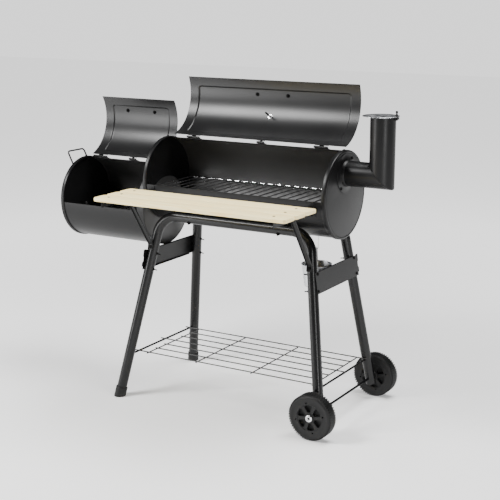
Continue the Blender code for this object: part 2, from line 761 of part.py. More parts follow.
# ---------------------------------------------------------------- firebox air vent and handle
vx = FX0 - GAP
vent = rod_along("X", VENT_R, 0.0012, 28, (vx - 0.0012, 0, VENT_Z))
tab = box((vx - 0.013, 0.040, VENT_Z - 0.008), (vx - 0.0002, 0.0412, VENT_Z + 0.008))
vent = union([vent, tab])
node("air_vent_damper", cut(vent, vent_holes(45)), BLACK, (FX0, 0, VENT_Z))
rivet = lathe(
    [
        (vx - 0.0046, 0),
        (vx - 0.0040, 0.0040),
        (vx - 0.0012 - GAP, 0.0060),
        (vx - 0.0012 - GAP, 0.0028),
        (FX0 + SHEET + GAP, 0.0028),
        (FX0 + SHEET + GAP, 0.0050),
        (FX0 + SHEET + 0.0020, 0.0050),
        (FX0 + SHEET + 0.0020, 0),
    ],
    14,
    "X",
    (0, 0, VENT_Z),
)
node("air_vent_rivet", rivet, ZINC)
hy = 0.318 * BARREL_R
carry_z = FIRE_Z + 0.729 * BARREL_R
carry_path = rounded(
    [
        (FX0 - GAP, -hy, carry_z),
        (FX0 - 0.010, -hy, carry_z),
        (FX0 - CARRY_OUT, -hy, carry_z + CARRY_RISE),
        (FX0 - CARRY_OUT, hy, carry_z + CARRY_RISE),
        (FX0 - 0.010, hy, carry_z),
        (FX0 - GAP, hy, carry_z),
    ],
    [0.004, 0.010, 0.010, 0.004],
    4,
)
node("carry_handle", tube(carry_path, CARRY_R, 8, up=(0, 0.1, 1)), TUBE_PAINT)

# ---------------------------------------------------------------- legs
AXLE = Vector((AXLE_X, 0, WHEEL_R))


def leg_line(side, front):
    """The corner and the low end of a leg's centre line."""
    f = -1 if front else 1
    if side == "left":
        return Vector((CORNER_XL, f * RAIL_Y, RAIL_Z)), Vector((FOOT_X, f * FOOT_Y, 0))
    return Vector((CORNER_XR, f * RAIL_Y, RAIL_Z)), Vector((AXLE_X, f * AXLE_LEG_Y, WHEEL_R))


def leg_at(side, front, z):
    """The point of a leg's centre line at a height."""
    corner, low = leg_line(side, front)
    return low + (corner - low) * ((z - low.z) / (corner.z - low.z))


axle_hole = rod_along("Y", AXLE_R + GAP, 0.6, 14, AXLE - Vector((0, 0.3, 0)))
for side_name in ("left", "right"):
    for front in (True, False):
        corner, low = leg_line(side_name, front)
        d = (corner - low).normalized()
        end = low + d * 0.0095 if side_name == "left" else low - d * 0.020
        x = -GAP / 2 if side_name == "left" else GAP / 2
        path = rounded([(x, corner.y, corner.z), corner, end], BEND_R, 5)
        mesh = tube(path, TUBE_R, 14, TUBE_WALL, up=(0, 1, 0.0))
        if side_name == "right":
            mesh = cut(mesh, axle_hole)
        node(f"leg_{'front' if front else 'rear'}_{side_name}", mesh, TUBE_PAINT)
        if side_name == "right":
            continue
        u = d.orthogonal().normalized()
        v = d.cross(u)
        turns = [2 * math.pi * k / 16 for k in range(16)]
        ring = [u * math.cos(a) + v * math.sin(a) for a in turns]
        rc = TUBE_R + 0.0030
        ground = [low + p * rc - d * ((low + p * rc).z / d.z) for p in ring]
        rings = [
            ground,
            [low + d * 0.034 + p * rc for p in ring],
            [low + d * 0.034 + p * (TUBE_R + 2.5 * GAP) for p in ring],
            [low + d * 0.0088 + p * (TUBE_R + 2.5 * GAP) for p in ring],
        ]
        node(f"foot_{'front' if front else 'rear'}", loft(rings), PLASTIC)
# ---------------------------------------------------------------- side braces
for side_name, sx in (("left", -1), ("right", 1)):
    corner, low = leg_line(side_name, True)
    along = Vector((corner.x - low.x, 0, corner.z - low.z)).normalized()
    nrm = Vector((along.z, 0, -along.x)) * sx
    if nrm.x * sx < 0:
        nrm = -nrm

    def on_plane(y, z, h):
        t = (z - low.z) / (corner.z - low.z)
        return Vector((low.x + (corner.x - low.x) * t, y, z)) + nrm * (TUBE_R + GAP + h)

    z0, z1 = BRACE_Z
    leg_y = abs(leg_at(side_name, True, (z0 + z1) / 2).y)
    far = leg_y + 0.0213
    near = -leg_y - 0.0093
    outline = [
        (near, z0),
        (far - 0.002, z0),
        (far - 0.002, z0 + 0.010),
        (far + 0.004, z0 + 0.012),
        (far + 0.004, z0 + 0.026),
        (far - 0.001, z0 + 0.029),
        (far - 0.001, z0 + 0.045),
        (far + 0.003, z0 + 0.048),
        (far + 0.003, z1 + 0.003),
        (far - 0.010, z1 + 0.003),
        (far - 0.012, z1),
        (near, z1),
    ]
    flip = -1 if side_name == "left" else 1
    pts = [(y * flip, z) for y, z in outline]
    node(f"side_brace_{side_name}", prism(pts, 0.0, 0.0018, on_plane), BLACK)

# ---------------------------------------------------------------- axle and wheels
end_y = WHEEL_FACE_Y + 0.0010
node("axle", rod_along("Y", AXLE_R, 2 * end_y, 16, AXLE - Vector((0, end_y, 0))), TUBE_PAINT)
for front in (True, False):
    f = -1 if front else 1
    face = WHEEL_FACE_Y
    w = WHEEL_W
    r = WHEEL_R
    dish = 0.671 * r
    ring_in = 0.752 * r
    profile = [
        (face - 0.0005, AXLE_R + GAP),
        (face - 0.0005, 0.0135),
        (face - 0.0060, 0.0150),
        (face - 0.0060, dish),
        (face - 0.0020, ring_in),
        (face - 0.0040, r - 0.0060),
        (face - 0.0080, r - 0.0010),
        (face - 0.0140, r),
        (face - w + 0.0140, r),
        (face - w + 0.0080, r - 0.0010),
        (face - w + 0.0040, r - 0.0060),
        (face - w + 0.0020, ring_in),
        (face - w + 0.0120, dish),
        (face - w + 0.0120, 0.0150),
        (face - w + 0.0005, 0.0135),
        (face - w + 0.0005, AXLE_R + GAP),
    ]
    profile = [(f * a, b) for a, b in profile]
    wheel = lathe(profile, 30, "Y", AXLE)
    pockets = []
    for k in range(6):
        corners = ((0.255, 19.7), (0.523, 13.0), (0.544, 30.0), (0.523, 47.0), (0.255, 40.3))
        outline = []
        for share, deg in corners:
            a = math.radians(60 * k + deg)
            outline.append((share * r * math.cos(a), share * r * math.sin(a)))
        pockets.append(
            prism(
                outline,
                f * (face - 0.0200),
                f * (face + 0.01),
                lambda a, b, h: Vector((AXLE_X + a, h, WHEEL_R + b)),
            )
        )
    wheel = cut(wheel, merged(pockets))
    which = "front" if front else "rear"
    node(f"wheel_{which}", wheel, PLASTIC, (AXLE_X, 0, WHEEL_R))
    hub = [
        (face + GAP - 0.0005, AXLE_R + GAP),
        (face + GAP - 0.0005, 0.0118),
        (face + HUB_OUT / 2, 0.0118),
        (face + HUB_OUT, 0.0090),
        (face + HUB_OUT, 0.0060),
        (face + HUB_OUT - 0.0012, AXLE_R + GAP),
    ]
    hub = [(f * a, b) for a, b in hub]
    node(f"hub_cap_{which}", lathe(hub, 14, "Y", AXLE), CHROME)

# ---------------------------------------------------------------- front shelf
for k, which in enumerate(("front", "middle", "rear")):
    y0 = SHELF_FRONT + k * (SLAT_W + SLAT_GAP)
    y1 = y0 + SLAT_W
    mid_y = (y0 + y1) / 2
    hx = MX + SLAT_OVER
    c = 0.010
    corners = (
        (hx - c, y0 + c, -90),
        (hx - c, y1 - c, 0),
        (c - hx, y1 - c, 90),
        (c - hx, y0 + c, 180),
    )
    outline = []
    for cx, cy, a0 in corners:
        for q in range(5):
            a = math.radians(a0 + 22.5 * q)
            outline.append((cx + c * math.cos(a), cy + c * math.sin(a)))
    eased = [(x * 0.9985, mid_y + (y - mid_y) * 0.975) for x, y in outline]
    z1 = SHELF_TOP
    z0 = z1 - SLAT_T
    levels = ((z0, eased), (z0 + 0.0012, outline), (z1 - 0.0012, outline), (z1, eased))
    node(f"shelf_slat_{which}", loft([[Vector((x, y, z)) for x, y in ring] for z, ring in levels]), PINE)

UNDER = SHELF_TOP - SLAT_T - GAP
drum = rod_along("X", BARREL_R + GAP, MAIN_L + 0.2, 72, (-MX - 0.1, 0, MAIN_Z))
arms = (("left", -1, CORNER_XL - 0.021), ("right", 1, CORNER_XR + 0.015))
for which, sx, x in arms:
    x_out = x + sx * ARM_W / 2
    x_in = x - sx * ARM_W / 2
    xt = x_out - sx * 0.0015
    outline = [
        (x_out, UNDER),
        (x_in, UNDER),
        (x_in, UNDER - 0.0015),
        (xt, UNDER - 0.0015),
        (xt, UNDER - 0.019),
        (x_out, UNDER - 0.019),
    ]
    arm = prism(outline, SHELF_FRONT + 0.007, -BARREL_R + 0.015, lambda a, b, h: Vector((a, h, b)))
    pad_x = [x - ARM_W / 2, x + ARM_W / 2]
    pad = shell(pad_x, spaced(93.5, 112, 5), BARREL_R + GAP + 0.0018, 0.0025, MAIN_Z)
    node(f"shelf_arm_{which}", cut(union([arm, pad]), drum), BLACK)
    corner, low = leg_line(which, True)
    d = (low - corner).normalized()
    dy = Vector((0, d.y, d.z)).normalized()
    off = Vector((0, dy.z, -dy.y))
    if off.y > 0:
        off = -off
    on_leg = leg_at(which, True, RAIL_Z - STRUT_DROP)
    start = Vector((x, on_leg.y, on_leg.z)) + off * (TUBE_R + 0.0016)
    tip = start + dy * 0.020
    top_z = UNDER - 0.0015 - GAP - 0.0010
    top_y = start.y - (top_z - start.z) * 0.68
    path = [tip, start, (x, top_y, top_z), (x, top_y - 0.030, top_z)]
    node(f"shelf_strut_{which}", flat_bar(path, (1, 0, 0), 0.018, 0.0020), BLACK)

# ---------------------------------------------------------------- bottom rack
rod_z = RACK_Z - WIRE - ROD - GAP
carry = [leg_at(side_name, True, rod_z) for side_name in ("left", "right")]
rack_y = min(abs(p.y) for p in carry) - TUBE_R - 0.0044
rack_x = (carry[0].x - RACK_OVER, carry[1].x + RACK_OVER)
cross_x = [rack_x[0] + (rack_x[1] - rack_x[0]) * share for share in (0.0746, 0.3469, 0.6396, 0.9472)]
bars = []
for k in range(7):
    y = rack_y * (k / 3 - 1)
    # the outer two and the middle wire reach over the rods
    x0, x1 = rack_x if k % 3 == 0 else (cross_x[0] - 0.004, cross_x[-1] + 0.004)
    bars.append(tube([(x0, y, RACK_Z), (x1, y, RACK_Z)], WIRE, 6))
cross = []
for x in cross_x:
    ends = [(x, s * (rack_y + 0.0035), RACK_Z - 0.0030) for s in (-1, 1)]
    cross.append(tube(ends, WIRE, 6, up=(1, 0, 0.3)))
node("bottom_rack", union([merged(bars), merged(cross)]), TUBE_PAINT)
for side_name, at in zip(("left", "right"), carry):
    y = abs(at.y) - TUBE_R - 0.0010
    rod = rod_along("Y", ROD, 2 * y, 10, (at.x, -y, rod_z))
    node(f"rack_rod_{side_name}", rod, TUBE_PAINT)


# ---------------------------------------------------------------- grates
def grate(name, x0, x1, zc, drop, rim_r, rod_r, count, mat):
    """A wire loop that just clears the shell, with crossing rods on top."""
    z = zc - drop
    lift = rim_r + rod_r - 0.0010
    reach = math.sqrt((BARREL_R - SHEET) ** 2 - (drop + rim_r) ** 2) - 0.0012
    hy = reach - rim_r
    xm = (x0 + x1) / 2
    corners = [(xm, -hy, z), (x1, -hy, z), (x1, hy, z), (x0, hy, z), (x0, -hy, z), (xm, -hy, z)]
    rim = tube(rounded(corners, 0.012, 3)[:-1], rim_r, 6, up=(0, 0, 1), closed=True)
    rods = []
    for k in range(count):
        x = x0 + (x1 - x0) * (k + 0.5) / count
        ends = [(x, s * (hy + 0.0008), z + lift) for s in (-1, 1)]
        rods.append(tube(ends, rod_r, 6, up=(1, 0, 0.2)))
    node(name, union([rim, merged(rods)]), mat)


grate("cooking_grate", -MX + 0.010, MX - 0.010, MAIN_Z, GRATE_DROP, 0.0025, 0.0020, 20, CHROME)
grate("charcoal_grate", FX0 + 0.012, FIRE_END - 0.022, FIRE_Z, CHAR_DROP, 0.0030, 0.0026, 11, ZINC)

# ---------------------------------------------------------------- grease bucket
HOOK_WIRE = 0.0013
BAIL_WIRE = 0.0015
J_Z = MAIN_Z - BARREL_R - HOOK_L
hook_x = BUCKET_X + HOOK_R
hook_path = [Vector((hook_x, 0, MAIN_Z - BARREL_R - GAP)), Vector((hook_x, 0, J_Z))]
for k in range(1, 7):
    a = math.pi * k / 6
    hook_path.append(Vector((BUCKET_X + HOOK_R * math.cos(a), 0, J_Z - HOOK_R * math.sin(a))))
hook_path.append(Vector((BUCKET_X - HOOK_R, 0, J_Z + 0.004)))
node("bucket_hook", tube(hook_path, HOOK_WIRE, 6, up=(0, 1, 0)), ZINC)
APEX_Z = J_Z - HOOK_R + HOOK_WIRE + BAIL_WIRE + GAP
EAR_Z = BUCKET_RIM_Z - 0.0090
bail_dir = Vector((math.sin(math.radians(BAIL_DEG)), -math.cos(math.radians(BAIL_DEG)), 0))
ear_out = BUCKET_R + 0.0035
bail_flat = rounded(
    [
        (-ear_out + 0.0070, EAR_Z, 0),
        (-ear_out, EAR_Z, 0),
        (-ear_out, EAR_Z + 0.022, 0),
        (-0.011, APEX_Z, 0),
        (0.011, APEX_Z, 0),
        (ear_out, EAR_Z + 0.022, 0),
        (ear_out, EAR_Z, 0),
        (ear_out - 0.0070, EAR_Z, 0),
    ],
    [0.002, 0.014, 0.008, 0.008, 0.014, 0.002],
    3,
)
bail_path = [Vector((BUCKET_X, 0, p.y)) + bail_dir * p.x for p in bail_flat]
bail = tube(bail_path, BAIL_WIRE, 6, up=Vector((0, 0, 1)).cross(bail_dir))
node("bucket_bail", bail, ZINC, (BUCKET_X, 0, APEX_Z))
zt = BUCKET_RIM_Z
zb = zt - BUCKET_H
rt = BUCKET_R
rb = BUCKET_BASE_R
bucket = lathe(
    [
        (zb, 0),
        (zb, rb),
        (zt - 0.003, rt - 0.0004),
        (zt - 0.003, rt + 0.0012),
        (zt, rt + 0.0012),
        (zt, rt - 0.0010),
        (zb + 0.0010, rb - 0.0010),
        (zb + 0.0010, 0),
    ],
    28,
    "Z",
    (BUCKET_X, 0, 0),
)
turned = (bail_dir, Vector((0, 0, 1)), bail_dir.cross(Vector((0, 0, 1))))
ear_hole = rod_along(turned, BAIL_WIRE + GAP, 0.16, 10, Vector((BUCKET_X, 0, EAR_Z)) - bail_dir * 0.08)
node("grease_bucket", cut(bucket, ear_hole), GALV, (BUCKET_X, 0, EAR_Z))
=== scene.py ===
"""Offset smoker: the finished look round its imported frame. Metres, +X towards the chimney, +Z up."""

from math import cos, hypot, pi, radians, sin, sqrt, tan

import bmesh
import bpy
from mathutils import Matrix, Vector


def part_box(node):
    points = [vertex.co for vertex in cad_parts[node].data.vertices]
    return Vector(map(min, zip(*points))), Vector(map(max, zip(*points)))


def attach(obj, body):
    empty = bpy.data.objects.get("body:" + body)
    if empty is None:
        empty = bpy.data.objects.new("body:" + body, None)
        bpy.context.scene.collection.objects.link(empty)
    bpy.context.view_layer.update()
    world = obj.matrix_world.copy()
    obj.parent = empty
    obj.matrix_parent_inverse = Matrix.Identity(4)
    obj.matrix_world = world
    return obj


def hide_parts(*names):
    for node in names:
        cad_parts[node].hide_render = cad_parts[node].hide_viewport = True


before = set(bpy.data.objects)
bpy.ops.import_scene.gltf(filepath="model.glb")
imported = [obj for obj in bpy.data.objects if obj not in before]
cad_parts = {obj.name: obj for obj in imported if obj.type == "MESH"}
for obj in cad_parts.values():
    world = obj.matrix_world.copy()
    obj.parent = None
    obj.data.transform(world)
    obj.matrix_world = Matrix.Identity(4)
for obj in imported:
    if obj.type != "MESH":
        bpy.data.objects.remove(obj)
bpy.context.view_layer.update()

# ---------- sizes, drawn about the barrel's middle
BARREL_R = 0.14
SHEET = 0.0015
MAIN_L = 0.69
FIRE_L = 0.359
MAIN_Z = 0.738
FIRE_Z = MAIN_Z - 0.096
RIM_W = 0.0153
RIM_T = 0.003
GAP = 0.0003
FRONT_DEG = 91.4
REAR_DEG = 8.2
LID_FRONT_DEG = 91.0
LID_REAR_DEG = 7.5
MAIN_OPEN = 158.0
FIRE_OPEN = 150.0
LID_GAP = 0.0008
FIRE_RIGHT = 0.027
PANEL_RISE = 0.0028
PANEL_IN = 0.034
PANEL_DEG = 13.0
PIN_DEG = 9.8
PIN_OUT = 0.0045
HANDLE_DEG = 69.7
HANDLE_HALF = 0.059
HANDLE_OUT = 0.034
GRIP_R = 0.011
THERMO_DEG = 40.0
THERMO_R = 0.026
TUBE_R = 0.017
TUBE_WALL = 0.0012
RAIL_Y = 0.112
FOOT_Y = 0.229
AXLE_LEG_Y = 0.19
AXLE_R = 0.004
WHEEL_R = 0.0745
WHEEL_W = 0.046
WHEEL_FACE_Y = 0.2575
FLUE_R = 0.04
DAMPER_R = 0.0577
DAMPER_BACK = 0.0075
LEAF_T = 0.0014
KNUCKLE_R = 0.0036
PIN_R = 0.0016
VENT_RING = 0.031
VENT_HOLE_R = 0.011
CARRY_OUT = 0.04
CARRY_RISE = 0.059
CARRY_R = 0.003
SLAT_W = 0.0635
SLAT_T = 0.012
SLAT_GAP = 0.0045
RACK_Z = 0.15
WIRE = 0.0021
ROD = 0.0035
BUCKET_R = 0.049
BUCKET_H = 0.074

MX = MAIN_L / 2
FX0 = -MX - FIRE_L
CORNER_XL = -MX + 0.056
CORNER_XR = MX - 0.065
FOOT_X = CORNER_XL - 0.107
AXLE_X = CORNER_XR + 0.078
FLUE_X = MX + 0.123
FLUE_Z = MAIN_Z + BARREL_R / 2
FLUE_TOP = FLUE_Z + 0.1863
PIVOT_X = FLUE_X + FLUE_R + 0.0045
SHELF_TOP = MAIN_Z - 0.01
SHELF_FRONT = -(BARREL_R + 0.0635 + 3 * SLAT_W + 2 * SLAT_GAP)
VENT_Z = FIRE_Z - 0.03
RAIL_Z = MAIN_Z - sqrt((BARREL_R + TUBE_R + GAP) ** 2 - RAIL_Y**2)
BUCKET_X = CORNER_XR - 0.035
BUCKET_RIM_Z = MAIN_Z - BARREL_R - 0.095
BAIL_DIR = Vector((sin(radians(30.8)), -cos(radians(30.8)), 0))

left_low, left_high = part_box("main_cap_left")
right_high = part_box("main_cap_right")[1]
MIDDLE = Vector(((left_low.x + right_high.x) / 2, (left_low.y + left_high.y) / 2, 0.0))

STAND = "stand_and_barrels"


# ---------- node trees
def feed(tree, node, feeds):
    """Gives a node's inputs their sockets to listen to or their plain values."""
    for key, value in feeds.items():
        if isinstance(value, bpy.types.NodeSocket):
            tree.links.new(value, node.inputs[key])
        else:
            node.inputs[key].default_value = value


def put(tree, kind, feeds=None, **settings):
    """A new node with its settings and inputs."""
    node = tree.nodes.new(kind)
    for key, value in settings.items():
        setattr(node, key, value)
    feed(tree, node, feeds or {})
    return node


def noise(tree, place, scale, **more):
    return put(tree, "ShaderNodeTexNoise", {"Vector": place, "Scale": scale, **more}).outputs["Fac"]


def stretched(tree, place, scale):
    return put(tree, "ShaderNodeMapping", {"Vector": place, "Scale": scale}).outputs["Vector"]


def ranged(tree, value, low, high, to_low, to_high, **settings):
    """A value moved from one range into another."""
    feeds = {"Value": value, "From Min": low, "From Max": high, "To Min": to_low, "To Max": to_high}
    return put(tree, "ShaderNodeMapRange", feeds, **settings).outputs["Result"]


def blend(tree, share, a, b, kind="MIX"):
    """A colour between two."""
    feeds = {"Factor": share, "A": a, "B": b}
    return put(tree, "ShaderNodeMix", feeds, data_type="RGBA", blend_type=kind).outputs["Result"]


def summed(tree, a, b, operation):
    return put(tree, "ShaderNodeMath", {0: a, 1: b}, operation=operation).outputs["Value"]


# ---------- finishes
def new_finish(name, **values):
    """A material with its tree, its shader and the place on the object."""
    made = bpy.data.materials.new(name)
    made.use_nodes = True
    tree = made.node_tree
    shader = tree.nodes["Principled BSDF"]
    feed(tree, shader, values)
    return made, tree, shader, put(tree, "ShaderNodeTexCoord").outputs["Object"]


def surface(tree, shader, colour, shine, height, strength, distance):
    """Sends colour, roughness and a fine relief to the shader."""
    relief = put(tree, "ShaderNodeBump", {"Height": height, "Strength": strength, "Distance": distance})
    feed(tree, shader, {"Base Color": colour, "Roughness": shine, "Normal": relief.outputs["Normal"]})


def coating(
    name, dark, light, rough, cloud, grain, bump, metallic=0.0, specular=0.5, stretch=(1, 1, 1), scuffs=0.0
):
    """A paint, plating or moulding: cloudy colour, uneven gloss, a fine grain and faint scuffs."""
    made, tree, shader, place = new_finish(name, **{"Metallic": metallic, "Specular IOR Level": specular})
    place = stretched(tree, place, stretch)
    clouds = noise(tree, place, cloud, Detail=5.0)
    colour = blend(tree, clouds, (*dark, 1), (*light, 1))
    shine = ranged(tree, clouds, 0.3, 0.7, *rough)
    if scuffs:
        few = ranged(
            tree, noise(tree, place, cloud * 7, Detail=8.0, Roughness=0.7), 0.62, 0.78, 0.0, scuffs
        )
        colour = blend(tree, few, colour, (*[min(1.0, c * 3.0 + 0.03) for c in light], 1))
        shine = summed(tree, shine, few, "ADD")
    surface(tree, shader, colour, shine, noise(tree, place, grain, Detail=3.0), bump, 0.0006)
    return made


def pine_wood():
    """Pale sanded softwood: long grain with darker late wood, small knots and a soft sheen."""
    made, tree, shader, place = new_finish("sanded_pine", **{"Specular IOR Level": 0.35})
    drift = noise(tree, stretched(tree, place, (1.3, 34.0, 30.0)), 1.1, Detail=3.0, Distortion=0.8)
    wave = summed(tree, summed(tree, drift, 46.0, "MULTIPLY"), 0.0, "SINE")
    lines = ranged(tree, wave, 0.1, 1.0, 0.0, 1.0)
    grain = blend(tree, lines, (1.0, 0.86, 0.47, 1), (0.96, 0.74, 0.33, 1))
    tone = blend(tree, noise(tree, place, 14.0), (1.0, 0.96, 0.88, 1), (1.0, 1.0, 1.0, 1))
    warm = blend(tree, 0.55, grain, tone, "MULTIPLY")
    cells = put(
        tree, "ShaderNodeTexVoronoi", {"Vector": stretched(tree, place, (0.7, 2.2, 0.6)), "Scale": 5.0}
    )
    knots = ranged(tree, cells.outputs["Distance"], 0.035, 0.075, 0.75, 0.0)
    colour = blend(tree, knots, warm, (0.33, 0.18, 0.08, 1))
    surface(tree, shader, colour, ranged(tree, lines, 0.0, 1.0, 0.46, 0.62), lines, 0.18, 0.0004)
    return made


def spangled_zinc():
    """Bright galvanised sheet with its frost-like spangle."""
    made = coating("spangled_zinc", (0.5, 0.51, 0.53), (0.72, 0.73, 0.75), (0.22, 0.4), 60, 900, 0.05, 1.0)
    tree = made.node_tree
    shader = tree.nodes["Principled BSDF"]
    place = put(tree, "ShaderNodeTexCoord").outputs["Object"]
    cells = put(tree, "ShaderNodeTexVoronoi", {"Vector": place, "Scale": 130.0})
    grey = put(tree, "ShaderNodeRGBToBW", {"Color": cells.outputs["Color"]}).outputs["Val"]
    plain = shader.inputs["Base Color"].links[0].from_socket
    feed(tree, shader, {"Base Color": blend(tree, 0.35, plain, grey, "OVERLAY")})
    return made


SATIN = coating(
    "satin_black_heat_paint", (0.004, 0.004, 0.0042), (0.007, 0.007, 0.0072), (0.33, 0.4), 7, 1100, 0.1,
    specular=0.22, scuffs=0.02,
)
LINING = coating(
    "smoked_black_lining", (0.022, 0.022, 0.022), (0.05, 0.049, 0.048), (0.36, 0.52), 5, 700, 0.12,
    stretch=(1.0, 1.0, 1.4), scuffs=0.12,
)
LID_LINING = coating(
    "lid_inner_paint", (0.007, 0.007, 0.0072), (0.011, 0.011, 0.0113), (0.3, 0.34), 5, 1000, 0.08,
    specular=0.36,
)
GLOSS = coating(
    "gloss_black_tube_paint", (0.004, 0.004, 0.0042), (0.007, 0.007, 0.0072), (0.22, 0.3), 12, 1300, 0.06,
    specular=0.3, scuffs=0.02,
)
WIRE_BLACK = coating(
    "black_wire_coating", (0.012, 0.012, 0.012), (0.024, 0.024, 0.024), (0.34, 0.5), 40, 1500, 0.1
)
PLASTIC = coating(
    "black_moulding", (0.007, 0.007, 0.007), (0.013, 0.013, 0.013), (0.44, 0.6), 25, 1700, 0.28,
    specular=0.25, scuffs=0.08,
)
ZINC = coating(
    "zinc_plating", (0.5, 0.5, 0.49), (0.68, 0.68, 0.67), (0.25, 0.42), 80, 1400, 0.1, metallic=1.0,
    scuffs=0.1,
)
DARK_BOLT = coating(
    "blackened_bolts", (0.005, 0.005, 0.005), (0.009, 0.009, 0.009), (0.62, 0.75), 120, 1600, 0.15,
    specular=0.04,
)
CHROME = coating(
    "chrome_plating", (0.66, 0.66, 0.67), (0.82, 0.82, 0.83), (0.12, 0.28), 45, 1200, 0.04, metallic=1.0
)
IRON_BARS = coating(
    "sooty_iron_bars", (0.03, 0.029, 0.028), (0.16, 0.155, 0.15), (0.4, 0.65), 30, 900, 0.25, metallic=0.7
)
DIAL_CASE = coating(
    "brushed_dial_case", (0.52, 0.52, 0.52), (0.66, 0.66, 0.66), (0.2, 0.36), 35, 1500, 0.08, metallic=1.0,
    stretch=(1, 1, 9),
)
DIAL_WHITE = coating("dial_plate", (0.8, 0.79, 0.75), (0.88, 0.87, 0.84), (0.4, 0.5), 20, 800, 0.02)
DIAL_MARK = coating("dial_marks", (0.02, 0.02, 0.02), (0.04, 0.04, 0.04), (0.4, 0.5), 50, 900, 0.02)
NEEDLE_RED = coating("needle_paint", (0.5, 0.02, 0.015), (0.62, 0.03, 0.02), (0.35, 0.45), 50, 900, 0.02)
SPANGLE = spangled_zinc()
PINE = pine_wood()


# ---------- shaping
def shown(name, data):
    """A new object in the scene."""
    made = bpy.data.objects.new(name, data)
    bpy.context.scene.collection.objects.link(made)
    return made


def as_plain_mesh(obj):
    """What an object's modifiers make of it."""
    bpy.context.view_layer.update()
    return bpy.data.meshes.new_from_object(obj.evaluated_get(bpy.context.evaluated_depsgraph_get()))


def circle(n):
    return [2 * pi * k / n for k in range(n)]


def closed_mesh(verts, faces, kinds=None):
    """A mesh with merged doubles and its faces turned outwards; kinds picks a finish for each face."""
    mesh = bpy.data.meshes.new("shape")
    mesh.from_pydata([tuple(v) for v in verts], [], [tuple(f) for f in faces])
    if kinds:
        mesh.polygons.foreach_set("material_index", kinds)
    bm = bmesh.new()
    bm.from_mesh(mesh)
    bmesh.ops.remove_doubles(bm, verts=bm.verts, dist=1e-6)
    bmesh.ops.recalc_face_normals(bm, faces=bm.faces)
    if bm.calc_volume(signed=True) < 0:
        bmesh.ops.reverse_faces(bm, faces=bm.faces)
    bm.to_mesh(mesh)
    bm.free()
    return mesh


def skin(rings, loop=False, caps=True):
    """Rings of equally many points joined into one skin."""
    n = len(rings[0])
    count = len(rings)
    faces = []
    for i in range(count if loop else count - 1):
        j = (i + 1) % count
        for k in range(n):
            m = (k + 1) % n
            faces.append((i * n + k, i * n + m, j * n + m, j * n + k))
    if caps and not loop:
        faces.append(tuple(range(n)))
        faces.append(tuple((count - 1) * n + k for k in range(n)))
    return closed_mesh([p for ring in rings for p in ring], faces)


AXES = {
    "X": (Vector((1, 0, 0)), Vector((0, 1, 0)), Vector((0, 0, 1))),
    "Y": (Vector((0, 1, 0)), Vector((0, 0, 1)), Vector((1, 0, 0))),
    "Z": (Vector((0, 0, 1)), Vector((1, 0, 0)), Vector((0, 1, 0))),
}


def turned(profile, axis, centre, n=96):
    """A closed (along, radius) outline turned about an axis; a first and last radius of 0 close it."""
    t, u, v = AXES[axis] if isinstance(axis, str) else axis
    c = Vector(centre)
    solid = profile[0][1] == 0 and profile[-1][1] == 0
    rings = []
    for along, r in profile[1:-1] if solid else profile:
        rings.append([c + t * along + (u * cos(a) + v * sin(a)) * r for a in circle(n)])
    return skin(rings, loop=not solid)


def bend_path(corners, radius, steps=10):
    """A path through the corners, each inner corner rounded."""
    pts = [Vector(c) for c in corners]
    out = [pts[0]]
    for i in range(1, len(pts) - 1):
        a = (pts[i - 1] - pts[i]).normalized()
        b = (pts[i + 1] - pts[i]).normalized()
        half = a.angle(b) / 2
        r = radius[i - 1] if isinstance(radius, (list, tuple)) else radius
        centre = pts[i] + (a + b).normalized() * (r / sin(half))
        start = pts[i] + a * (r / tan(half)) - centre
        end = pts[i] + b * (r / tan(half)) - centre
        axis = start.cross(end).normalized()
        for k in range(steps + 1):
            out.append(centre + Matrix.Rotation(start.angle(end) * k / steps, 3, axis) @ start)
    out.append(pts[-1])
    return out


def walked(path, up, loop=False):
    """Each point of a path with its direction and two ways across."""
    path = [Vector(p) for p in path]
    n = len(path)
    u = Vector(up)
    out = []
    for i, p in enumerate(path):
        before = path[(i - 1) % n] if loop or i else path[0]
        after = path[(i + 1) % n] if loop or i < n - 1 else path[-1]
        t = ((p - before).normalized() + (after - p).normalized()).normalized()
        u = (u - t * u.dot(t)).normalized()
        out.append((p, t, u, t.cross(u)))
    return out


def swept(path, outline, up, loop=False):
    """A closed outline of (across, up) points carried along a path."""
    return skin(
        [[p + v * a + u * b for a, b in outline] for p, _, u, v in walked(path, up, loop)], loop=loop
    )


def wire(path, r, n=14, up=(0, 0.1, 1), loop=False):
    return swept(path, [(r * cos(a), r * sin(a)) for a in circle(n)], up, loop)


def pipe(path, r, wall, n=40, up=(0, 1, 0.02)):
    """An open tube with softened ends."""
    places = walked(path, up)
    last = len(places) - 1
    soft = 0.0005

    def ring(i, radius, push):
        p, t, u, v = places[i]
        return [p + t * push + (u * cos(a) + v * sin(a)) * radius for a in circle(n)]

    outer = [ring(0, r - soft, 0)] + [ring(0, r, soft)] + [ring(i, r, 0) for i in range(1, last)]
    outer += [ring(last, r, -soft), ring(last, r - soft, 0)]
    return skin(outer + [ring(i, r - wall, 0) for i in range(last, -1, -1)], loop=True)


def block(low, high):
    corners = [
        Vector((x, y, z))
        for x in (low[0], high[0])
        for y in (low[1], high[1])
        for z in (low[2], high[2])
    ]
    quads = [(0, 1, 3, 2), (4, 6, 7, 5), (0, 4, 5, 1), (2, 3, 7, 6), (0, 2, 6, 4), (1, 5, 7, 3)]
    return closed_mesh(corners, quads)


def pushed(outline, low, high, place):
    """A flat outline pushed from low to high; place maps (a, b, height) to a point."""
    return skin([[place(a, b, low) for a, b in outline], [place(a, b, high) for a, b in outline]])


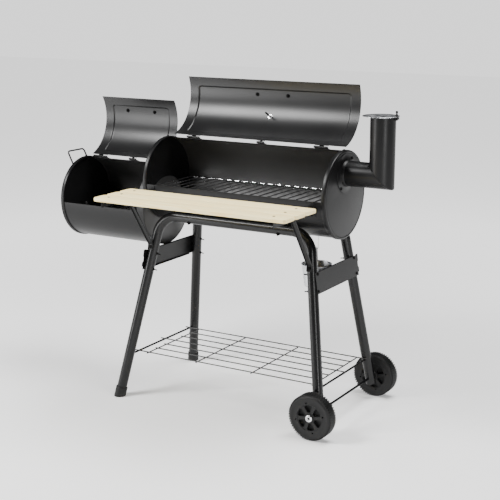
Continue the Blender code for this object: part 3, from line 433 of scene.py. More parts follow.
def carved(mesh, cutters):
    """The mesh with the cutters taken out of it."""
    host = shown("host", mesh)
    made = [shown("tool", cutter) for cutter in cutters]
    for tool in made:
        modifier = host.modifiers.new("cut", "BOOLEAN")
        modifier.object = tool
        modifier.operation = "DIFFERENCE"
        modifier.solver = "EXACT"
    out = as_plain_mesh(host)
    for obj in made + [host]:
        bpy.data.objects.remove(obj)
    return out


def measured(start, points, way=1):
    """(along, radius) points whose places along are measured from a face, one way or the other."""
    return [(start + way * a, r) for a, r in points]


def on_barrel(r, deg, zc):
    """(y, z) at an angle from the top towards the front."""
    a = radians(deg)
    return -r * sin(a), zc + r * cos(a)


def sheet(xs, degs, radius, thick, zc, gone=None):
    """Rolled sheet metal over a grid of places along and round the barrel: outside and lining faces."""
    nx, nt = len(xs), len(degs)
    whole = abs(degs[-1] - degs[0] - 360.0) < 1e-6
    verts = []
    for side in (0, 1):
        for x in xs:
            for d in degs:
                r = radius(x, d) if callable(radius) else radius
                y, z = on_barrel(r - thick * side, d, zc)
                verts.append((x, y, z))

    def at(side, i, j):
        return side * nx * nt + i * nt + (j % (nt - 1) if whole else j)

    cells = [
        (i, j)
        for i in range(nx - 1)
        for j in range(nt - 1) if not (gone and gone((xs[i] + xs[i + 1]) / 2, (degs[j] + degs[j + 1]) / 2))
    ]
    there = set(cells)
    faces, kinds = [], []
    for i, j in cells:
        quad = [(i, j), (i + 1, j), (i + 1, j + 1), (i, j + 1)]
        faces += [[at(0, *q) for q in quad], [at(1, *q) for q in quad[::-1]]]
        kinds += [0, 1]
        sides = (
            ((i, j - 1), quad[0], quad[1]), ((i + 1, j), quad[1], quad[2]), ((i, j + 1), quad[2], quad[3]),
            ((i - 1, j), quad[3], quad[0]),
        )
        for (a, b), p, q in sides:
            if whole:
                b %= nt - 1
            if (a, b) not in there:
                faces.append([at(0, *q), at(0, *p), at(1, *p), at(1, *q)])
                kinds.append(0)
    used = sorted({v for f in faces for v in f})
    renumber = {v: k for k, v in enumerate(used)}
    return closed_mesh([verts[v] for v in used], [[renumber[v] for v in f] for f in faces], kinds)


def even(low, high, n):
    return [low + (high - low) * k / n for k in range(n + 1)]


def hinge_line(zc):
    y, z = on_barrel(BARREL_R + PIN_OUT, -PIN_DEG, zc)
    return Vector((0, y, z))


def swung(mesh, zc, deg):
    """Turns a mesh drawn on the shut lid to where the lid stands open."""
    p = hinge_line(zc)
    turn = Matrix.Rotation(radians(-deg), 4, "X")
    mesh.transform(Matrix.Translation(p) @ turn @ Matrix.Translation(-p))
    return mesh


def outward(deg):
    """The way out of the barrel at an angle from the top, and two ways across it."""
    a = radians(deg)
    t = Vector((0, -sin(a), cos(a)))
    u = Vector((1, 0, 0))
    return t, u, t.cross(u)


def put_together(name, parts, sharp):
    """Parts of (mesh, finishes) as one mesh in its place in the frame."""
    bm = bmesh.new()
    finishes = []
    for mesh, mats in parts:
        mats = list(mesh.materials) if mats is None else mats if isinstance(mats, (list, tuple)) else [mats]
        first = len(bm.faces)
        bm.from_mesh(mesh)
        bm.faces.ensure_lookup_table()
        for k in range(first, len(bm.faces)):
            face = bm.faces[k]
            finish = mats[min(face.material_index, len(mats) - 1)]
            if finish not in finishes:
                finishes.append(finish)
            face.material_index = finishes.index(finish)
    out = bpy.data.meshes.new(name)
    bm.to_mesh(out)
    bm.free()
    out.transform(Matrix.Translation(MIDDLE))
    for finish in finishes:
        out.materials.append(finish)
    out.shade_smooth()
    out.set_sharp_from_angle(angle=radians(sharp))
    return out


def fitted(name, parts, stands_for, body=STAND, sharp=38.0, soften=0.0):
    """One finished piece that rides on a body, and the plain solids that it stands for."""
    obj = shown(name, put_together(name, parts, sharp))
    if soften:
        edge = obj.modifiers.new("soft_edges", "BEVEL")
        edge.width = soften
        edge.segments = 2
        edge.limit_method = "ANGLE"
        edge.angle_limit = radians(45)
        edge.harden_normals = False
    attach(obj, body)
    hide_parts(*stands_for)


# ---------- repeated pieces, grown from node trees
def new_tree(name, sizes):
    """A geometry tree with named sizes and a finish; returns it with the sockets that give them."""
    tree = bpy.data.node_groups.new(name, "GeometryNodeTree")
    tree.interface.new_socket("Geometry", in_out="INPUT", socket_type="NodeSocketGeometry")
    for label, kind in sizes.items():
        tree.interface.new_socket(label, in_out="INPUT", socket_type="NodeSocket" + kind)
    tree.interface.new_socket("Finish", in_out="INPUT", socket_type="NodeSocketMaterial")
    tree.interface.new_socket("Geometry", in_out="OUTPUT", socket_type="NodeSocketGeometry")
    return tree, put(tree, "NodeGroupInput").outputs


def end_tree(tree, sizes, geometry):
    """Realize Instances, Set Material and the output."""
    real = put(tree, "GeometryNodeRealizeInstances", {"Geometry": geometry}).outputs["Geometry"]
    paint = put(tree, "GeometryNodeSetMaterial", {"Geometry": real, "Material": sizes["Finish"]})
    put(tree, "NodeGroupOutput", {"Geometry": paint.outputs["Geometry"]})
    return tree


def on_points(tree, points, shape, turn):
    feeds = {"Points": points, "Instance": shape, "Rotation": turn}
    return put(tree, "GeometryNodeInstanceOnPoints", feeds).outputs["Instances"]


def bars_tree():
    """Round bars side by side: how many, the first one's middle, the step, length and radius."""
    tree, sizes = new_tree(
        "bars_side_by_side",
        {
            "Count": "Int", "First": "Vector", "Step": "Vector", "Turn": "Vector", "Length": "Float",
            "Radius": "Float",
        },
    )
    places = {"Count": sizes["Count"], "Start Location": sizes["First"], "Offset": sizes["Step"]}
    row = put(tree, "GeometryNodeMeshLine", places, mode="OFFSET").outputs["Mesh"]
    shape = {"Vertices": 12, "Radius": sizes["Radius"], "Depth": sizes["Length"]}
    bar = put(tree, "GeometryNodeMeshCylinder", shape).outputs["Mesh"]
    turn = put(tree, "FunctionNodeEulerToRotation", {"Euler": sizes["Turn"]}).outputs["Rotation"]
    return end_tree(tree, sizes, on_points(tree, row, bar, turn))


def ring_tree():
    """Small blocks round a circle: how many, the circle, each block's size and the first one's angle."""
    tree, sizes = new_tree(
        "blocks_round_a_ring",
        {"Count": "Int", "Radius": "Float", "Block Size": "Vector", "First Angle": "Float"},
    )
    ring = put(tree, "GeometryNodeMeshCircle", {"Vertices": sizes["Count"], "Radius": sizes["Radius"]})
    place = put(tree, "GeometryNodeInputPosition").outputs["Position"]
    aim = put(tree, "FunctionNodeAlignRotationToVector", {"Vector": place}, axis="X", pivot_axis="Z")
    cube = put(tree, "GeometryNodeMeshCube", {"Size": sizes["Block Size"]})
    blocks = on_points(tree, ring.outputs["Mesh"], cube.outputs["Mesh"], aim.outputs["Rotation"])
    spin = put(tree, "ShaderNodeCombineXYZ", {"Z": sizes["First Angle"]}).outputs["Vector"]
    turned_ring = put(tree, "GeometryNodeTransform", {"Geometry": blocks, "Rotation": spin})
    return end_tree(tree, sizes, turned_ring.outputs["Geometry"])


def heads_tree():
    """Bolt heads on points: each stands on its point and faces the way its 'facing' value says."""
    tree, sizes = new_tree(
        "bolt_heads",
        {
            "Sides": "Int", "Head Radius": "Float", "Head Height": "Float", "Washer Radius": "Float",
            "Stub Radius": "Float", "Stub Length": "Float",
        },
    )
    half = summed(tree, sizes["Head Height"], 0.5, "MULTIPLY")
    join = put(tree, "GeometryNodeJoinGeometry")

    def drum(sides, radius, height, middle):
        shape = put(
            tree, "GeometryNodeMeshCylinder", {"Vertices": sides, "Radius": radius, "Depth": height}
        )
        lift = put(tree, "ShaderNodeCombineXYZ", {"Z": middle}).outputs["Vector"]
        move = put(tree, "GeometryNodeTransform", {"Geometry": shape.outputs["Mesh"], "Translation": lift})
        feed(tree, join, {"Geometry": move.outputs["Geometry"]})

    drum(sizes["Sides"], sizes["Head Radius"], sizes["Head Height"], half)
    drum(20, sizes["Washer Radius"], 0.0012, 0.0006)
    drum(12, sizes["Stub Radius"], sizes["Stub Length"], half)
    facing = put(tree, "GeometryNodeInputNamedAttribute", {"Name": "facing"}, data_type="FLOAT_VECTOR")
    feeds = {"Vector": facing.outputs["Attribute"]}
    aim = put(tree, "FunctionNodeAlignRotationToVector", feeds, axis="Z").outputs["Rotation"]
    return end_tree(tree, sizes, on_points(tree, sizes["Geometry"], join.outputs["Geometry"], aim))


def grown(tree, sizes, points=None):
    """The plain mesh that a tree makes with these sizes, on (place, facing) points if it needs them."""
    base = bpy.data.meshes.new("points")
    if points:
        base.from_pydata([tuple(p) for p, _ in points], [], [])
        facing = base.attributes.new("facing", "FLOAT_VECTOR", "POINT")
        facing.data.foreach_set("vector", [c for _, f in points for c in Vector(f).normalized()])
    carrier = shown("carrier", base)
    modifier = carrier.modifiers.new("grow", "NODES")
    modifier.node_group = tree
    for item in tree.interface.items_tree:
        if item.item_type == "SOCKET" and item.in_out == "INPUT" and item.name in sizes:
            modifier[item.identifier] = sizes[item.name]
    out = as_plain_mesh(carrier)
    carrier.modifiers.remove(modifier)
    bpy.data.objects.remove(carrier)
    return out


BARS = bars_tree()
RING = ring_tree()
HEADS = heads_tree()


def bolts(
    points, head=0.005, height=0.0032, washer=0.0065, stub=0.0025, stub_length=0.0, sides=6,
    finish=DARK_BOLT,
):
    """Heads on washers at (place, facing) points, with a stub of thread where they have one."""
    sizes = {"Head Radius": head, "Head Height": height, "Washer Radius": washer, "Stub Radius": stub}
    return grown(
        HEADS, {**sizes, "Stub Length": stub_length, "Sides": sides, "Finish": finish}, points
    ), None


# ---------- camera and studio
def studio():
    """The camera, four soft lights, a bright background and a pale floor that glows towards it."""
    camera = shown("camera", bpy.data.cameras.new("camera"))
    camera.location = Vector((1.92949, -3.24536, 1.39051)) + MIDDLE
    camera.rotation_euler = (radians(90 - 13.005), 0.0, radians(30.836))
    camera.data.sensor_width = 36.0
    camera.data.lens = 83.04
    camera.data.clip_end = 60.0
    bpy.context.scene.camera = camera
    world = bpy.data.worlds.new("studio")
    world.use_nodes = True
    tree = world.node_tree
    soft = tree.nodes["Background"]
    feed(tree, soft, {"Strength": 0.16})
    bright = put(tree, "ShaderNodeBackground", {"Color": (1.0, 1.0, 1.0, 1), "Strength": 1.46})
    seen = put(tree, "ShaderNodeLightPath").outputs["Is Camera Ray"]
    sides = {"Fac": seen, 1: soft.outputs["Background"], 2: bright.outputs["Background"]}
    choose = put(tree, "ShaderNodeMixShader", sides)
    feed(tree, tree.nodes["World Output"], {"Surface": choose.outputs["Shader"]})
    bpy.context.scene.world = world

    def softbox(name, place, aim, size, power):
        light = shown(name, bpy.data.lights.new(name, "AREA"))
        light.data.shape = "RECTANGLE"
        light.data.size, light.data.size_y = size
        light.data.energy = power
        light.location = Vector(place)
        light.rotation_euler = (Vector(aim) - Vector(place)).to_track_quat("-Z", "Y").to_euler()

    softbox("key", (-1.5, -1.8, 2.6), (0, 0.1, 0.85), (1.1, 0.8), 130)
    softbox("left", (-1.85, -2.0, 0.75), (0, 0, 0.6), (0.8, 1.1), 34)
    softbox("right", (2.25, -1.5, 0.7), (0.2, 0, 0.6), (0.5, 1.2), 20)
    softbox("top", (0.9, 0.4, 3.0), (0.1, 0, 0.5), (1.6, 1.6), 130)
    floor_mesh = bpy.data.meshes.new("floor")
    reach = 14.0
    corners = [(x * reach, y * reach, 0) for x, y in ((-1, -1), (1, -1), (1, 1), (-1, 1))]
    floor_mesh.from_pydata(corners, [], [(0, 1, 2, 3)])
    paper, tree, shader, place = new_finish(
        "studio_paper",
        **{"Base Color": (0.92, 0.92, 0.92, 1), "Roughness": 0.9, "Emission Color": (1, 1, 1, 1)},
    )
    far = put(tree, "ShaderNodeVectorMath", {0: place}, operation="LENGTH").outputs["Value"]
    glow = ranged(tree, far, 0.6, 3.4, 0.34, 1.34, interpolation_type="SMOOTHSTEP")
    feed(tree, shader, {"Emission Strength": glow})
    floor_mesh.materials.append(paper)
    floor = shown("floor", floor_mesh)
    floor.location = (0, 0, -0.0008)


studio()


# ---------- cooking chamber and firebox
def rolled(name, node, xs, degs, zc, gone=None):
    """A painted barrel shell with its sooty lining."""
    shell = sheet(xs, degs, BARREL_R, SHEET, zc, gone)
    fitted(name, [(shell, [SATIN, LINING])], [node], soften=0.0003)


rolled(
    "chamber_shell", "main_barrel", [-MX + 0.0018, MX - 0.0018], even(FRONT_DEG, 360 - REAR_DEG, 140),
    MAIN_Z,
)


def cap_outline(face, inward):
    """A pressed end cap: flat face, a shallow bead, a rounded shoulder and a deep rim."""
    r = BARREL_R
    points = [
        (0, 0), (0, r - 0.0085), (0.0003, r - 0.007), (0.0009, r - 0.006), (0.0003, r - 0.0048),
        (0, r - 0.0034), (0.0002, r - 0.0012), (0.0008, r + 0.0006), (0.0018, r + 0.002),
        (0.0032, r + 0.0028), (0.0046, r + RIM_T), (RIM_W - 0.0016, r + RIM_T),
        (RIM_W - 0.0004, r + RIM_T - 0.0006), (RIM_W, r + RIM_T - 0.0016), (RIM_W, r + GAP),
        (SHEET + 0.001, r + GAP), (SHEET, r - 0.001), (SHEET, 0),
    ]
    return measured(face, points, inward)


def transfer_hole():
    wide = 0.646 * sqrt(BARREL_R**2 - 0.048**2)
    high = 0.598 * (BARREL_R - 0.048)
    z = (MAIN_Z + FIRE_Z) / 2 - 0.004
    outline = [(wide * cos(a), z + high * sin(a)) for a in circle(72)]
    return pushed(outline, -MX - 0.05, -MX + 0.05, lambda a, b, h: Vector((h, a, b)))


def round_hole(axis, r, low, high, centre, n=48):
    return turned([(low, 0), (low, r), (high, r), (high, 0)], axis, centre, n)


def end_bolt(x, zc):
    """The round head that holds a cap's rim on top."""
    return bolts([((x, *on_barrel(BARREL_R + RIM_T, 0, zc)), (0, 0, 1))], 0.0042, 0.0022, 0.0046, sides=12)


flue_hole = round_hole("X", FLUE_R + GAP, MX - 0.05, MX + 0.05, (0, 0, FLUE_Z))
for side, way, cutter in (("left", -1, transfer_hole()), ("right", 1, flue_hole)):
    cap = carved(turned(cap_outline(way * MX, -way), "X", (0, 0, MAIN_Z), 128), [cutter])
    parts = [(cap, SATIN), end_bolt(way * (MX - RIM_W * 0.55), MAIN_Z)]
    if side == "left":
        parts.append(bolts([((-MX + SHEET, y, 0.735), (1, 0, 0)) for y in (0.105, -0.105)]))
    fitted(f"chamber_{side}_end", parts, [f"main_cap_{side}"])
fire_end = -MX - GAP
open_x = (FX0 + RIM_W, -MX - FIRE_RIGHT)
fire_degs = even(-REAR_DEG, FRONT_DEG, 56) + even(FRONT_DEG, 360 - REAR_DEG, 140)[1:]
fire_xs = [FX0 + 0.0018, open_x[0] - 0.002, open_x[1], fire_end]
rolled(
    "firebox_shell", "firebox_barrel", fire_xs, fire_degs, FIRE_Z, lambda x,
    d: x < open_x[1] and d < FRONT_DEG,
)


def vent_holes(turn):
    """Cutters for the four air holes, turned by some degrees, and for the rivet."""
    out = [round_hole("X", 0.0031, FX0 - 0.02, FX0 + 0.02, (0, 0, VENT_Z), 20)]
    for k in range(4):
        a = radians(90 * k + turn)
        centre = (0, -VENT_RING * sin(a), VENT_Z + VENT_RING * cos(a))
        out.append(round_hole("X", VENT_HOLE_R, FX0 - 0.02, FX0 + 0.02, centre, 40))
    return out


fire_cap = carved(turned(cap_outline(FX0, 1), "X", (0, 0, FIRE_Z), 128), vent_holes(0))
fitted("firebox_left_end", [(fire_cap, SATIN), end_bolt(FX0 + RIM_W * 0.55, FIRE_Z)], ["firebox_cap_left"])
r_in = BARREL_R - SHEET - 2 * GAP
inner_end = turned(
    [
        (fire_end, 0), (fire_end, r_in - 0.002), (fire_end - 0.0006, r_in - 0.0006),
        (fire_end - 0.002, r_in), (fire_end - 0.016, r_in), (fire_end - 0.016, r_in - SHEET),
        (fire_end - 0.003, r_in - SHEET), (fire_end - SHEET, r_in - 0.004), (fire_end - SHEET, 0),
    ],
    "X", (0, 0, FIRE_Z), 128,
)
fitted("firebox_inner_end", [(carved(inner_end, [transfer_hole()]), LINING)], ["firebox_cap_inner"])


# ---------- lids
def close_steps(points, low, high):
    return sorted({round(p, 6) for p in points if low - 1e-9 <= p <= high + 1e-9})


def pressed_lid(x0, x1, zc):
    """A rolled lid whose panel is pressed outwards with rounded corners inside a plain border."""
    low, high = -LID_REAR_DEG, LID_FRONT_DEG
    per_deg = radians(1) * BARREL_R
    px = (x0 + PANEL_IN + 0.002, x1 - PANEL_IN - 0.002)
    pd = (low + 9.3, high - PANEL_DEG - 0.85)
    corner = 0.01
    xs = [x0, x1] + even(px[1] - 0.018, px[1] + 0.006, 16) + even(px[0] - 0.006, px[0] + 0.018, 16)
    xs += even(px[0] + 0.018, px[1] - 0.018, 10)
    ds = [low, high] + even(pd[0] - 3, pd[0] + 8, 18) + even(pd[1] - 8, pd[1] + 3, 18)
    ds += even(pd[0] + 8, pd[1] - 8, 30) + even(low, pd[0] - 3, 4) + even(pd[1] + 3, high, 8)

    def radius(x, d):
        dx = abs(x - (px[0] + px[1]) / 2) - ((px[1] - px[0]) / 2 - corner)
        dd = abs(d - (pd[0] + pd[1]) / 2) * per_deg - ((pd[1] - pd[0]) / 2 * per_deg - corner)
        away = hypot(max(dx, 0), max(dd, 0)) + min(max(dx, dd), 0) - corner
        t = min(1.0, max(0.0, 0.5 - away / 0.0045))
        return BARREL_R + PANEL_RISE * t * t * (3 - 2 * t)

    return sheet(close_steps(xs, x0, x1), close_steps(ds, low, high), radius, SHEET, zc)


main_x = (-MX + RIM_W + LID_GAP, MX - RIM_W - LID_GAP)
fire_x = (FX0 + RIM_W + LID_GAP, -MX - FIRE_RIGHT - LID_GAP)
fire_mid = (fire_x[0] + fire_x[1]) / 2


def along_radius(zc, x, deg, profile, n=24):
    return turned(profile, outward(deg), (x, 0, zc), n)


def lid_nuts(zc, x):
    points = []
    for s in (-1, 1):
        y, z = on_barrel(BARREL_R + PANEL_RISE - SHEET, HANDLE_DEG, zc)
        points.append(((x + s * HANDLE_HALF, y, z), -outward(HANDLE_DEG)[0]))
    return points


for name, body, (x0, x1), x, zc, deg in (
    ("chamber_lid", "main_lid", main_x, 0.0, MAIN_Z, MAIN_OPEN),
    ("firebox_door_lid", "firebox_lid", fire_x, fire_mid, FIRE_Z, FIRE_OPEN),
):
    nuts, _ = bolts(lid_nuts(zc, x), head=0.0052, height=0.004, washer=0.0068)
    parts = [(swung(pressed_lid(x0, x1, zc), zc, deg), [SATIN, LID_LINING]), (swung(nuts, zc, deg), None)]
    fitted(name, parts, [body], body=body, soften=0.0003)


def handle(name, body, x, zc, deg, nodes):
    """A turned grip on two bolted posts with cone spacers."""
    base = BARREL_R + PANEL_RISE
    top = base + HANDLE_OUT
    parts = []
    for s in (-1, 1):
        spacer = [(base + GAP, 0), (base + GAP, 0.0078), (base + 0.002, 0.008), (base + 0.01, 0.0058)]
        spacer += [(top - GRIP_R + 0.002, 0.0054), (top - GRIP_R + 0.002, 0)]
        parts.append((swung(along_radius(zc, x + s * HANDLE_HALF, HANDLE_DEG, spacer), zc, deg), PLASTIC))
        bolt = [(BARREL_R - 0.006, 0), (BARREL_R - 0.006, 0.0024), (BARREL_R - 0.0054, 0.003)]
        bolt += [(top, 0.003), (top, 0)]
        parts.append(
            (swung(along_radius(zc, x + s * HANDLE_HALF, HANDLE_DEG, bolt, 16), zc, deg), DARK_BOLT)
        )
    y, z = on_barrel(top, HANDLE_DEG, zc)
    w = HANDLE_HALF + 0.02
    outline = [(-w, 0), (-w, 0.005), (-w + 0.0008, 0.0066), (-w + 0.003, 0.0088), (-w + 0.008, 0.0098)]
    outline += [(p * w, 0.0098 + 0.0012 * (1 - p * p)) for p in even(-0.8, 0.8, 12)]
    outline += [(w - 0.008, 0.0098), (w - 0.003, 0.0088), (w - 0.0008, 0.0066), (w, 0.005), (w, 0)]
    parts.append((swung(turned(outline, "X", (x, y, z), 40), zc, deg), PLASTIC))
    fitted(name, parts, nodes, body=body)


handle(
    "chamber_lid_handle", "main_lid", 0.0, MAIN_Z, MAIN_OPEN,
    ["main_handle_grip", "main_handle_post_left", "main_handle_post_right"],
)
handle("firebox_lid_handle", "firebox_lid", fire_mid, FIRE_Z, FIRE_OPEN, ["firebox_handle"])


def thermometer():
    """A dial with a bezel, plate, marks and needle; behind the lid its nut and stem."""
    f = BARREL_R + PANEL_RISE
    case = measured(
        f,
        [
            (GAP, 0), (GAP, 0.012), (0.0012, 0.0205), (0.004, THERMO_R - 0.0018), (0.01, THERMO_R - 0.0004),
            (0.0125, THERMO_R), (0.0138, THERMO_R - 0.0008), (0.014, THERMO_R - 0.002),
            (0.013, THERMO_R - 0.0034), (0.0118, THERMO_R - 0.0036), (0.0118, 0),
        ],
    )
    plate = measured(f, [(0.0112, 0), (0.0112, 0.0218), (0.0121, 0.0218), (0.0121, 0)])
    stem = [
        (BARREL_R - 0.034, 0), (BARREL_R - 0.034, 0.002), (BARREL_R - 0.033, 0.0029),
        (BARREL_R - 0.006, 0.003), (BARREL_R - 0.006, 0.0045), (f, 0.0045), (f, 0),
    ]
    t, u, v = outward(THERMO_DEG)
    middle = Vector((0, 0, MAIN_Z))
    marks = [
        grown(RING, {"Count": count, "Radius": r, "Block Size": size, "Finish": DIAL_MARK})
        for count, r, size in ((36, 0.019, (0.0024, 0.0005, 0.0003)), (12, 0.018, (0.0044, 0.0008, 0.0004)))
    ]
    seat = Matrix((u, v, t)).transposed().to_4x4()
    seat = Matrix.Translation(middle + t * (f + 0.0122)) @ seat
    way = radians(215)
    tip = Vector((cos(way), sin(way), 0))
    side = Vector((-tip.y, tip.x, 0))
    arrow = [tip * 0.0165, side * 0.0011 - tip * 0.004, -side * 0.0011 - tip * 0.004]
    needle = skin(
        [[p + Vector((0, 0, 0.0004)) for p in arrow], [p + Vector((0, 0, 0.0009)) for p in arrow]]
    )
    hub = turned([(0.0, 0), (0.0, 0.0022), (0.0012, 0.0019), (0.0014, 0)], "Z", (0, 0, 0), 20)
    for mesh in (*marks, needle, hub):
        mesh.transform(seat)
    y, z = on_barrel(BARREL_R + PANEL_RISE - SHEET, THERMO_DEG, MAIN_Z)
    parts = [
        (along_radius(MAIN_Z, 0.0, THERMO_DEG, case, 64), DIAL_CASE),
        (along_radius(MAIN_Z, 0.0, THERMO_DEG, plate, 48), DIAL_WHITE),
        (along_radius(MAIN_Z, 0.0, THERMO_DEG, stem, 20), DARK_BOLT),
        *[(mesh, DIAL_MARK) for mesh in marks], (needle, NEEDLE_RED), (hub, DIAL_MARK),
        bolts([((0, y, z), -t)], 0.0065, 0.005, 0.008, 0.004, 0.01, finish=CHROME),
    ]
    parts = [(swung(mesh, MAIN_Z, MAIN_OPEN), mats) for mesh, mats in parts]
    fitted("lid_thermometer", parts, ["thermometer"], body="main_lid")


thermometer()


# ---------- hinges
def hinge(name, x, width, zc, deg, lid_body):
    """Curved leaves with folded knuckles round one pin, and rivets through both leaves."""
    p = hinge_line(zc)
    third = width / 3
    ra = BARREL_R + GAP

    def leaf(d0, d1):
        return sheet(even(x - width / 2, x + width / 2, 2), even(d0, d1, 10), ra + LEAF_T, LEAF_T, zc)

    def knuckle(a, b, r=KNUCKLE_R):
        outline = [(a, 0), (a, r - 0.0004), (a + 0.0004, r), (b - 0.0004, r), (b, r - 0.0004), (b, 0)]
        return turned(outline, "X", (0, p.y, p.z), 28)

    def web(a, b, d0, lift, d1, low_r):
        corners = ((0.0006, d0), (PIN_OUT - low_r, d1), (PIN_OUT + lift, d1), (0.0017, d0))
        outline = [on_barrel(BARREL_R + out, d, zc) for out, d in corners]
        return pushed(outline, a + 0.0003, b - 0.0003, lambda q, w, h: Vector((h, q, w)))

    def rivets(d, spots):
        points = [((x + s, *on_barrel(ra + LEAF_T, d, zc)), outward(d)[0]) for s in spots]
        return bolts(points, 0.0032, 0.0016, 0.0034, sides=16)

    spots = (-width * 0.36, width * 0.36)
    parts = [(leaf(-PIN_DEG - 11.0, -PIN_DEG - 1.9), SATIN), rivets(-PIN_DEG - 7.2, spots)]
    for a in (x - width / 2, x + width / 2 - third + 0.0004):
        b = a + third - 0.0004
        parts += [
            (knuckle(a, b), SATIN), (web(a, b, -PIN_DEG - 4.2, 0.0022, -PIN_DEG - 0.6, 0.0022), SATIN),
        ]
    parts.append((knuckle(x - width / 2 + 0.001, x + width / 2 - 0.001, PIN_R), ZINC))
    fitted(name + "_barrel_leaf", parts, [name + "_fixed_leaf"], soften=0.0002)
    a, b = x - width / 2 + third + 0.0004, x + width / 2 - third - 0.0004
    parts = [
        (leaf(-LID_REAR_DEG + 0.4, 3.4), SATIN), rivets(1.4, spots), (knuckle(a, b), SATIN),
        (web(a, b, -LID_REAR_DEG + 2.6, 0.0024, -PIN_DEG + 0.5, 0.0018), SATIN),
    ]
    parts = [(swung(mesh, zc, deg), mats) for mesh, mats in parts]
    fitted(name + "_swing_leaf", parts, [name + "_lid_leaf"], body=lid_body, soften=0.0002)


for side, share, width in (("left", -0.722, 0.05), ("middle", 0.049, 0.027), ("right", 0.699, 0.05)):
    hinge("main_hinge_" + side, share * MX, width, MAIN_Z, MAIN_OPEN, "main_lid")
for side, share, width in (("left", 0.146, 0.06), ("right", 0.546, 0.03)):
    hinge("firebox_hinge_" + side, FX0 + share * FIRE_L, width, FIRE_Z, FIRE_OPEN, "firebox_lid")


# ---------- chimney
def chimney():
    """A mitred pipe with a thin weld line along the mitre, and the damper's lug."""

    def ring(r, x=None, z=None, dx=0.0, dz=0.0):
        """A ring across the run at x, across the riser at z, or along the mitre, moved by dx or dz."""
        out = []
        for a in circle(64):
            y, c = r * sin(a), r * cos(a)
            out.append(
                Vector((FLUE_X - c + dx if x is None else x, y, FLUE_Z + c + dz if z is None else z))
            )
        return out

    r = FLUE_R
    outer = [
        ring(r, x=MX - 0.01), ring(r, dx=-0.0016), ring(r - 0.0007, dx=-0.0006), ring(r - 0.0007, dz=0.0006),
        ring(r, dz=0.0016), ring(r, z=FLUE_TOP - 0.0006), ring(r - 0.0005, z=FLUE_TOP),
    ]
    inner = [ring(r - SHEET, z=FLUE_TOP), ring(r - SHEET), ring(r - SHEET, x=MX - 0.01)]
    body = skin(outer + inner, loop=True)
    lug = block(
        (FLUE_X + FLUE_R - 0.0008, -0.006, FLUE_TOP - 0.0075), (PIVOT_X + 0.006, 0.006, FLUE_TOP - 0.0005)
    )
    fitted("chimney", [(body, SATIN), (lug, SATIN)], ["chimney_pipe"], sharp=30)
    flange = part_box("chimney_collar")[1].z - MIDDLE.z - FLUE_Z
    profile = measured(
        MX + GAP,
        [
            (0, FLUE_R + GAP), (0, flange - 0.0004), (0.0004, flange), (0.0012, flange),
            (0.0016, flange - 0.0004), (0.0018, FLUE_R + 0.005), (0.0032, FLUE_R + 0.003),
            (0.011, FLUE_R + 0.0022), (0.012, FLUE_R + 0.0014), (0.012, FLUE_R + GAP),
        ],
    )
    spots = []
    for deg in (40, 140, 220, 320):
        a = radians(deg)
        at = (MX + GAP + 0.0016, (flange - 0.0065) * sin(a), FLUE_Z + (flange - 0.0065) * cos(a))
        spots.append((at, (1, 0, 0)))
    collar = turned(profile, "X", (0, 0, FLUE_Z), 64)
    fitted("chimney_flange", [(collar, SATIN), bolts(spots, 0.004, 0.0028, 0.0048)], ["chimney_collar"])


chimney()
disc_profile = measured(
    FLUE_TOP + GAP,
    [
        (0, 0), (0, DAMPER_R - 0.0003), (0.0003, DAMPER_R), (0.0009, DAMPER_R), (0.0012, DAMPER_R - 0.0003),
        (0.0012, 0),
    ],
)
knob_profile = [
    (-0.0105, 0), (-0.0105, 0.0032), (-0.0101, 0.0036), (-0.0084, 0.0036), (-0.008, 0.002), (0.0018, 0.002),
    (0.0018, 0.0044), (0.004, 0.0045), (0.0065, 0.0036), (0.0105, 0.0026), (0.013, 0.0033), (0.0152, 0.004),
    (0.0172, 0.0038), (0.0186, 0.0026), (0.0192, 0.001), (0.0192, 0),
]
disc = turned(disc_profile, "Z", (FLUE_X - DAMPER_BACK, 0, 0), 80)
knob = turned(knob_profile, "Z", (PIVOT_X, 0, FLUE_TOP), 28)
fitted(
    "damper_plate", [(disc, SPANGLE), (knob, PLASTIC)], ["chimney_damper", "damper_knob"],
    body="chimney_damper",
)

# ---------- firebox end: air vent and carrying handle
vx = FX0 - GAP
vent_profile = measured(
    vx, [(0, 0), (0, 0.0493), (0.0003, 0.0495), (0.0009, 0.0495), (0.0012, 0.0493), (0.0012, 0)], -1
)
vent = carved(turned(vent_profile, "X", (0, 0, VENT_Z), 72), vent_holes(45))
tab = block((vx - 0.013, 0.04, VENT_Z - 0.008), (vx - 0.0002, 0.0412, VENT_Z + 0.008))
fitted("air_vent", [(vent, SATIN), (tab, SATIN)], ["air_vent_damper"], body="air_vent", soften=0.0002)
rivet = turned(
    [
        (vx - 0.0048, 0), (vx - 0.0047, 0.002), (vx - 0.0038, 0.0044), (vx - 0.0024, 0.0058),
        (vx - 0.0015, 0.006), (vx - 0.0015, 0.0028), (FX0 + SHEET + GAP, 0.0028),
        (FX0 + SHEET + GAP, 0.005), (FX0 + SHEET + 0.002, 0.0048), (FX0 + SHEET + 0.002, 0),
    ],
    "X", (0, 0, VENT_Z), 32,
)
fitted("vent_rivet", [(rivet, ZINC)], ["air_vent_rivet"])
hy = 0.318 * BARREL_R
cz = FIRE_Z + 0.729 * BARREL_R
carry = bend_path(
    [
        (FX0 - 0.0003, -hy, cz), (FX0 - 0.01, -hy, cz), (FX0 - CARRY_OUT, -hy, cz + CARRY_RISE),
        (FX0 - CARRY_OUT, hy, cz + CARRY_RISE), (FX0 - 0.01, hy, cz), (FX0 - 0.0003, hy, cz),
    ],
    [0.004, 0.01, 0.01, 0.004], 8,
)
feet = bolts([((FX0 - 0.0002, s * hy, cz), (-1, 0, 0)) for s in (-1, 1)], 0.005, 0.0034, 0.0066)
fitted("carrying_handle", [(wire(carry, CARRY_R, 20), GLOSS), feet], ["carry_handle"])


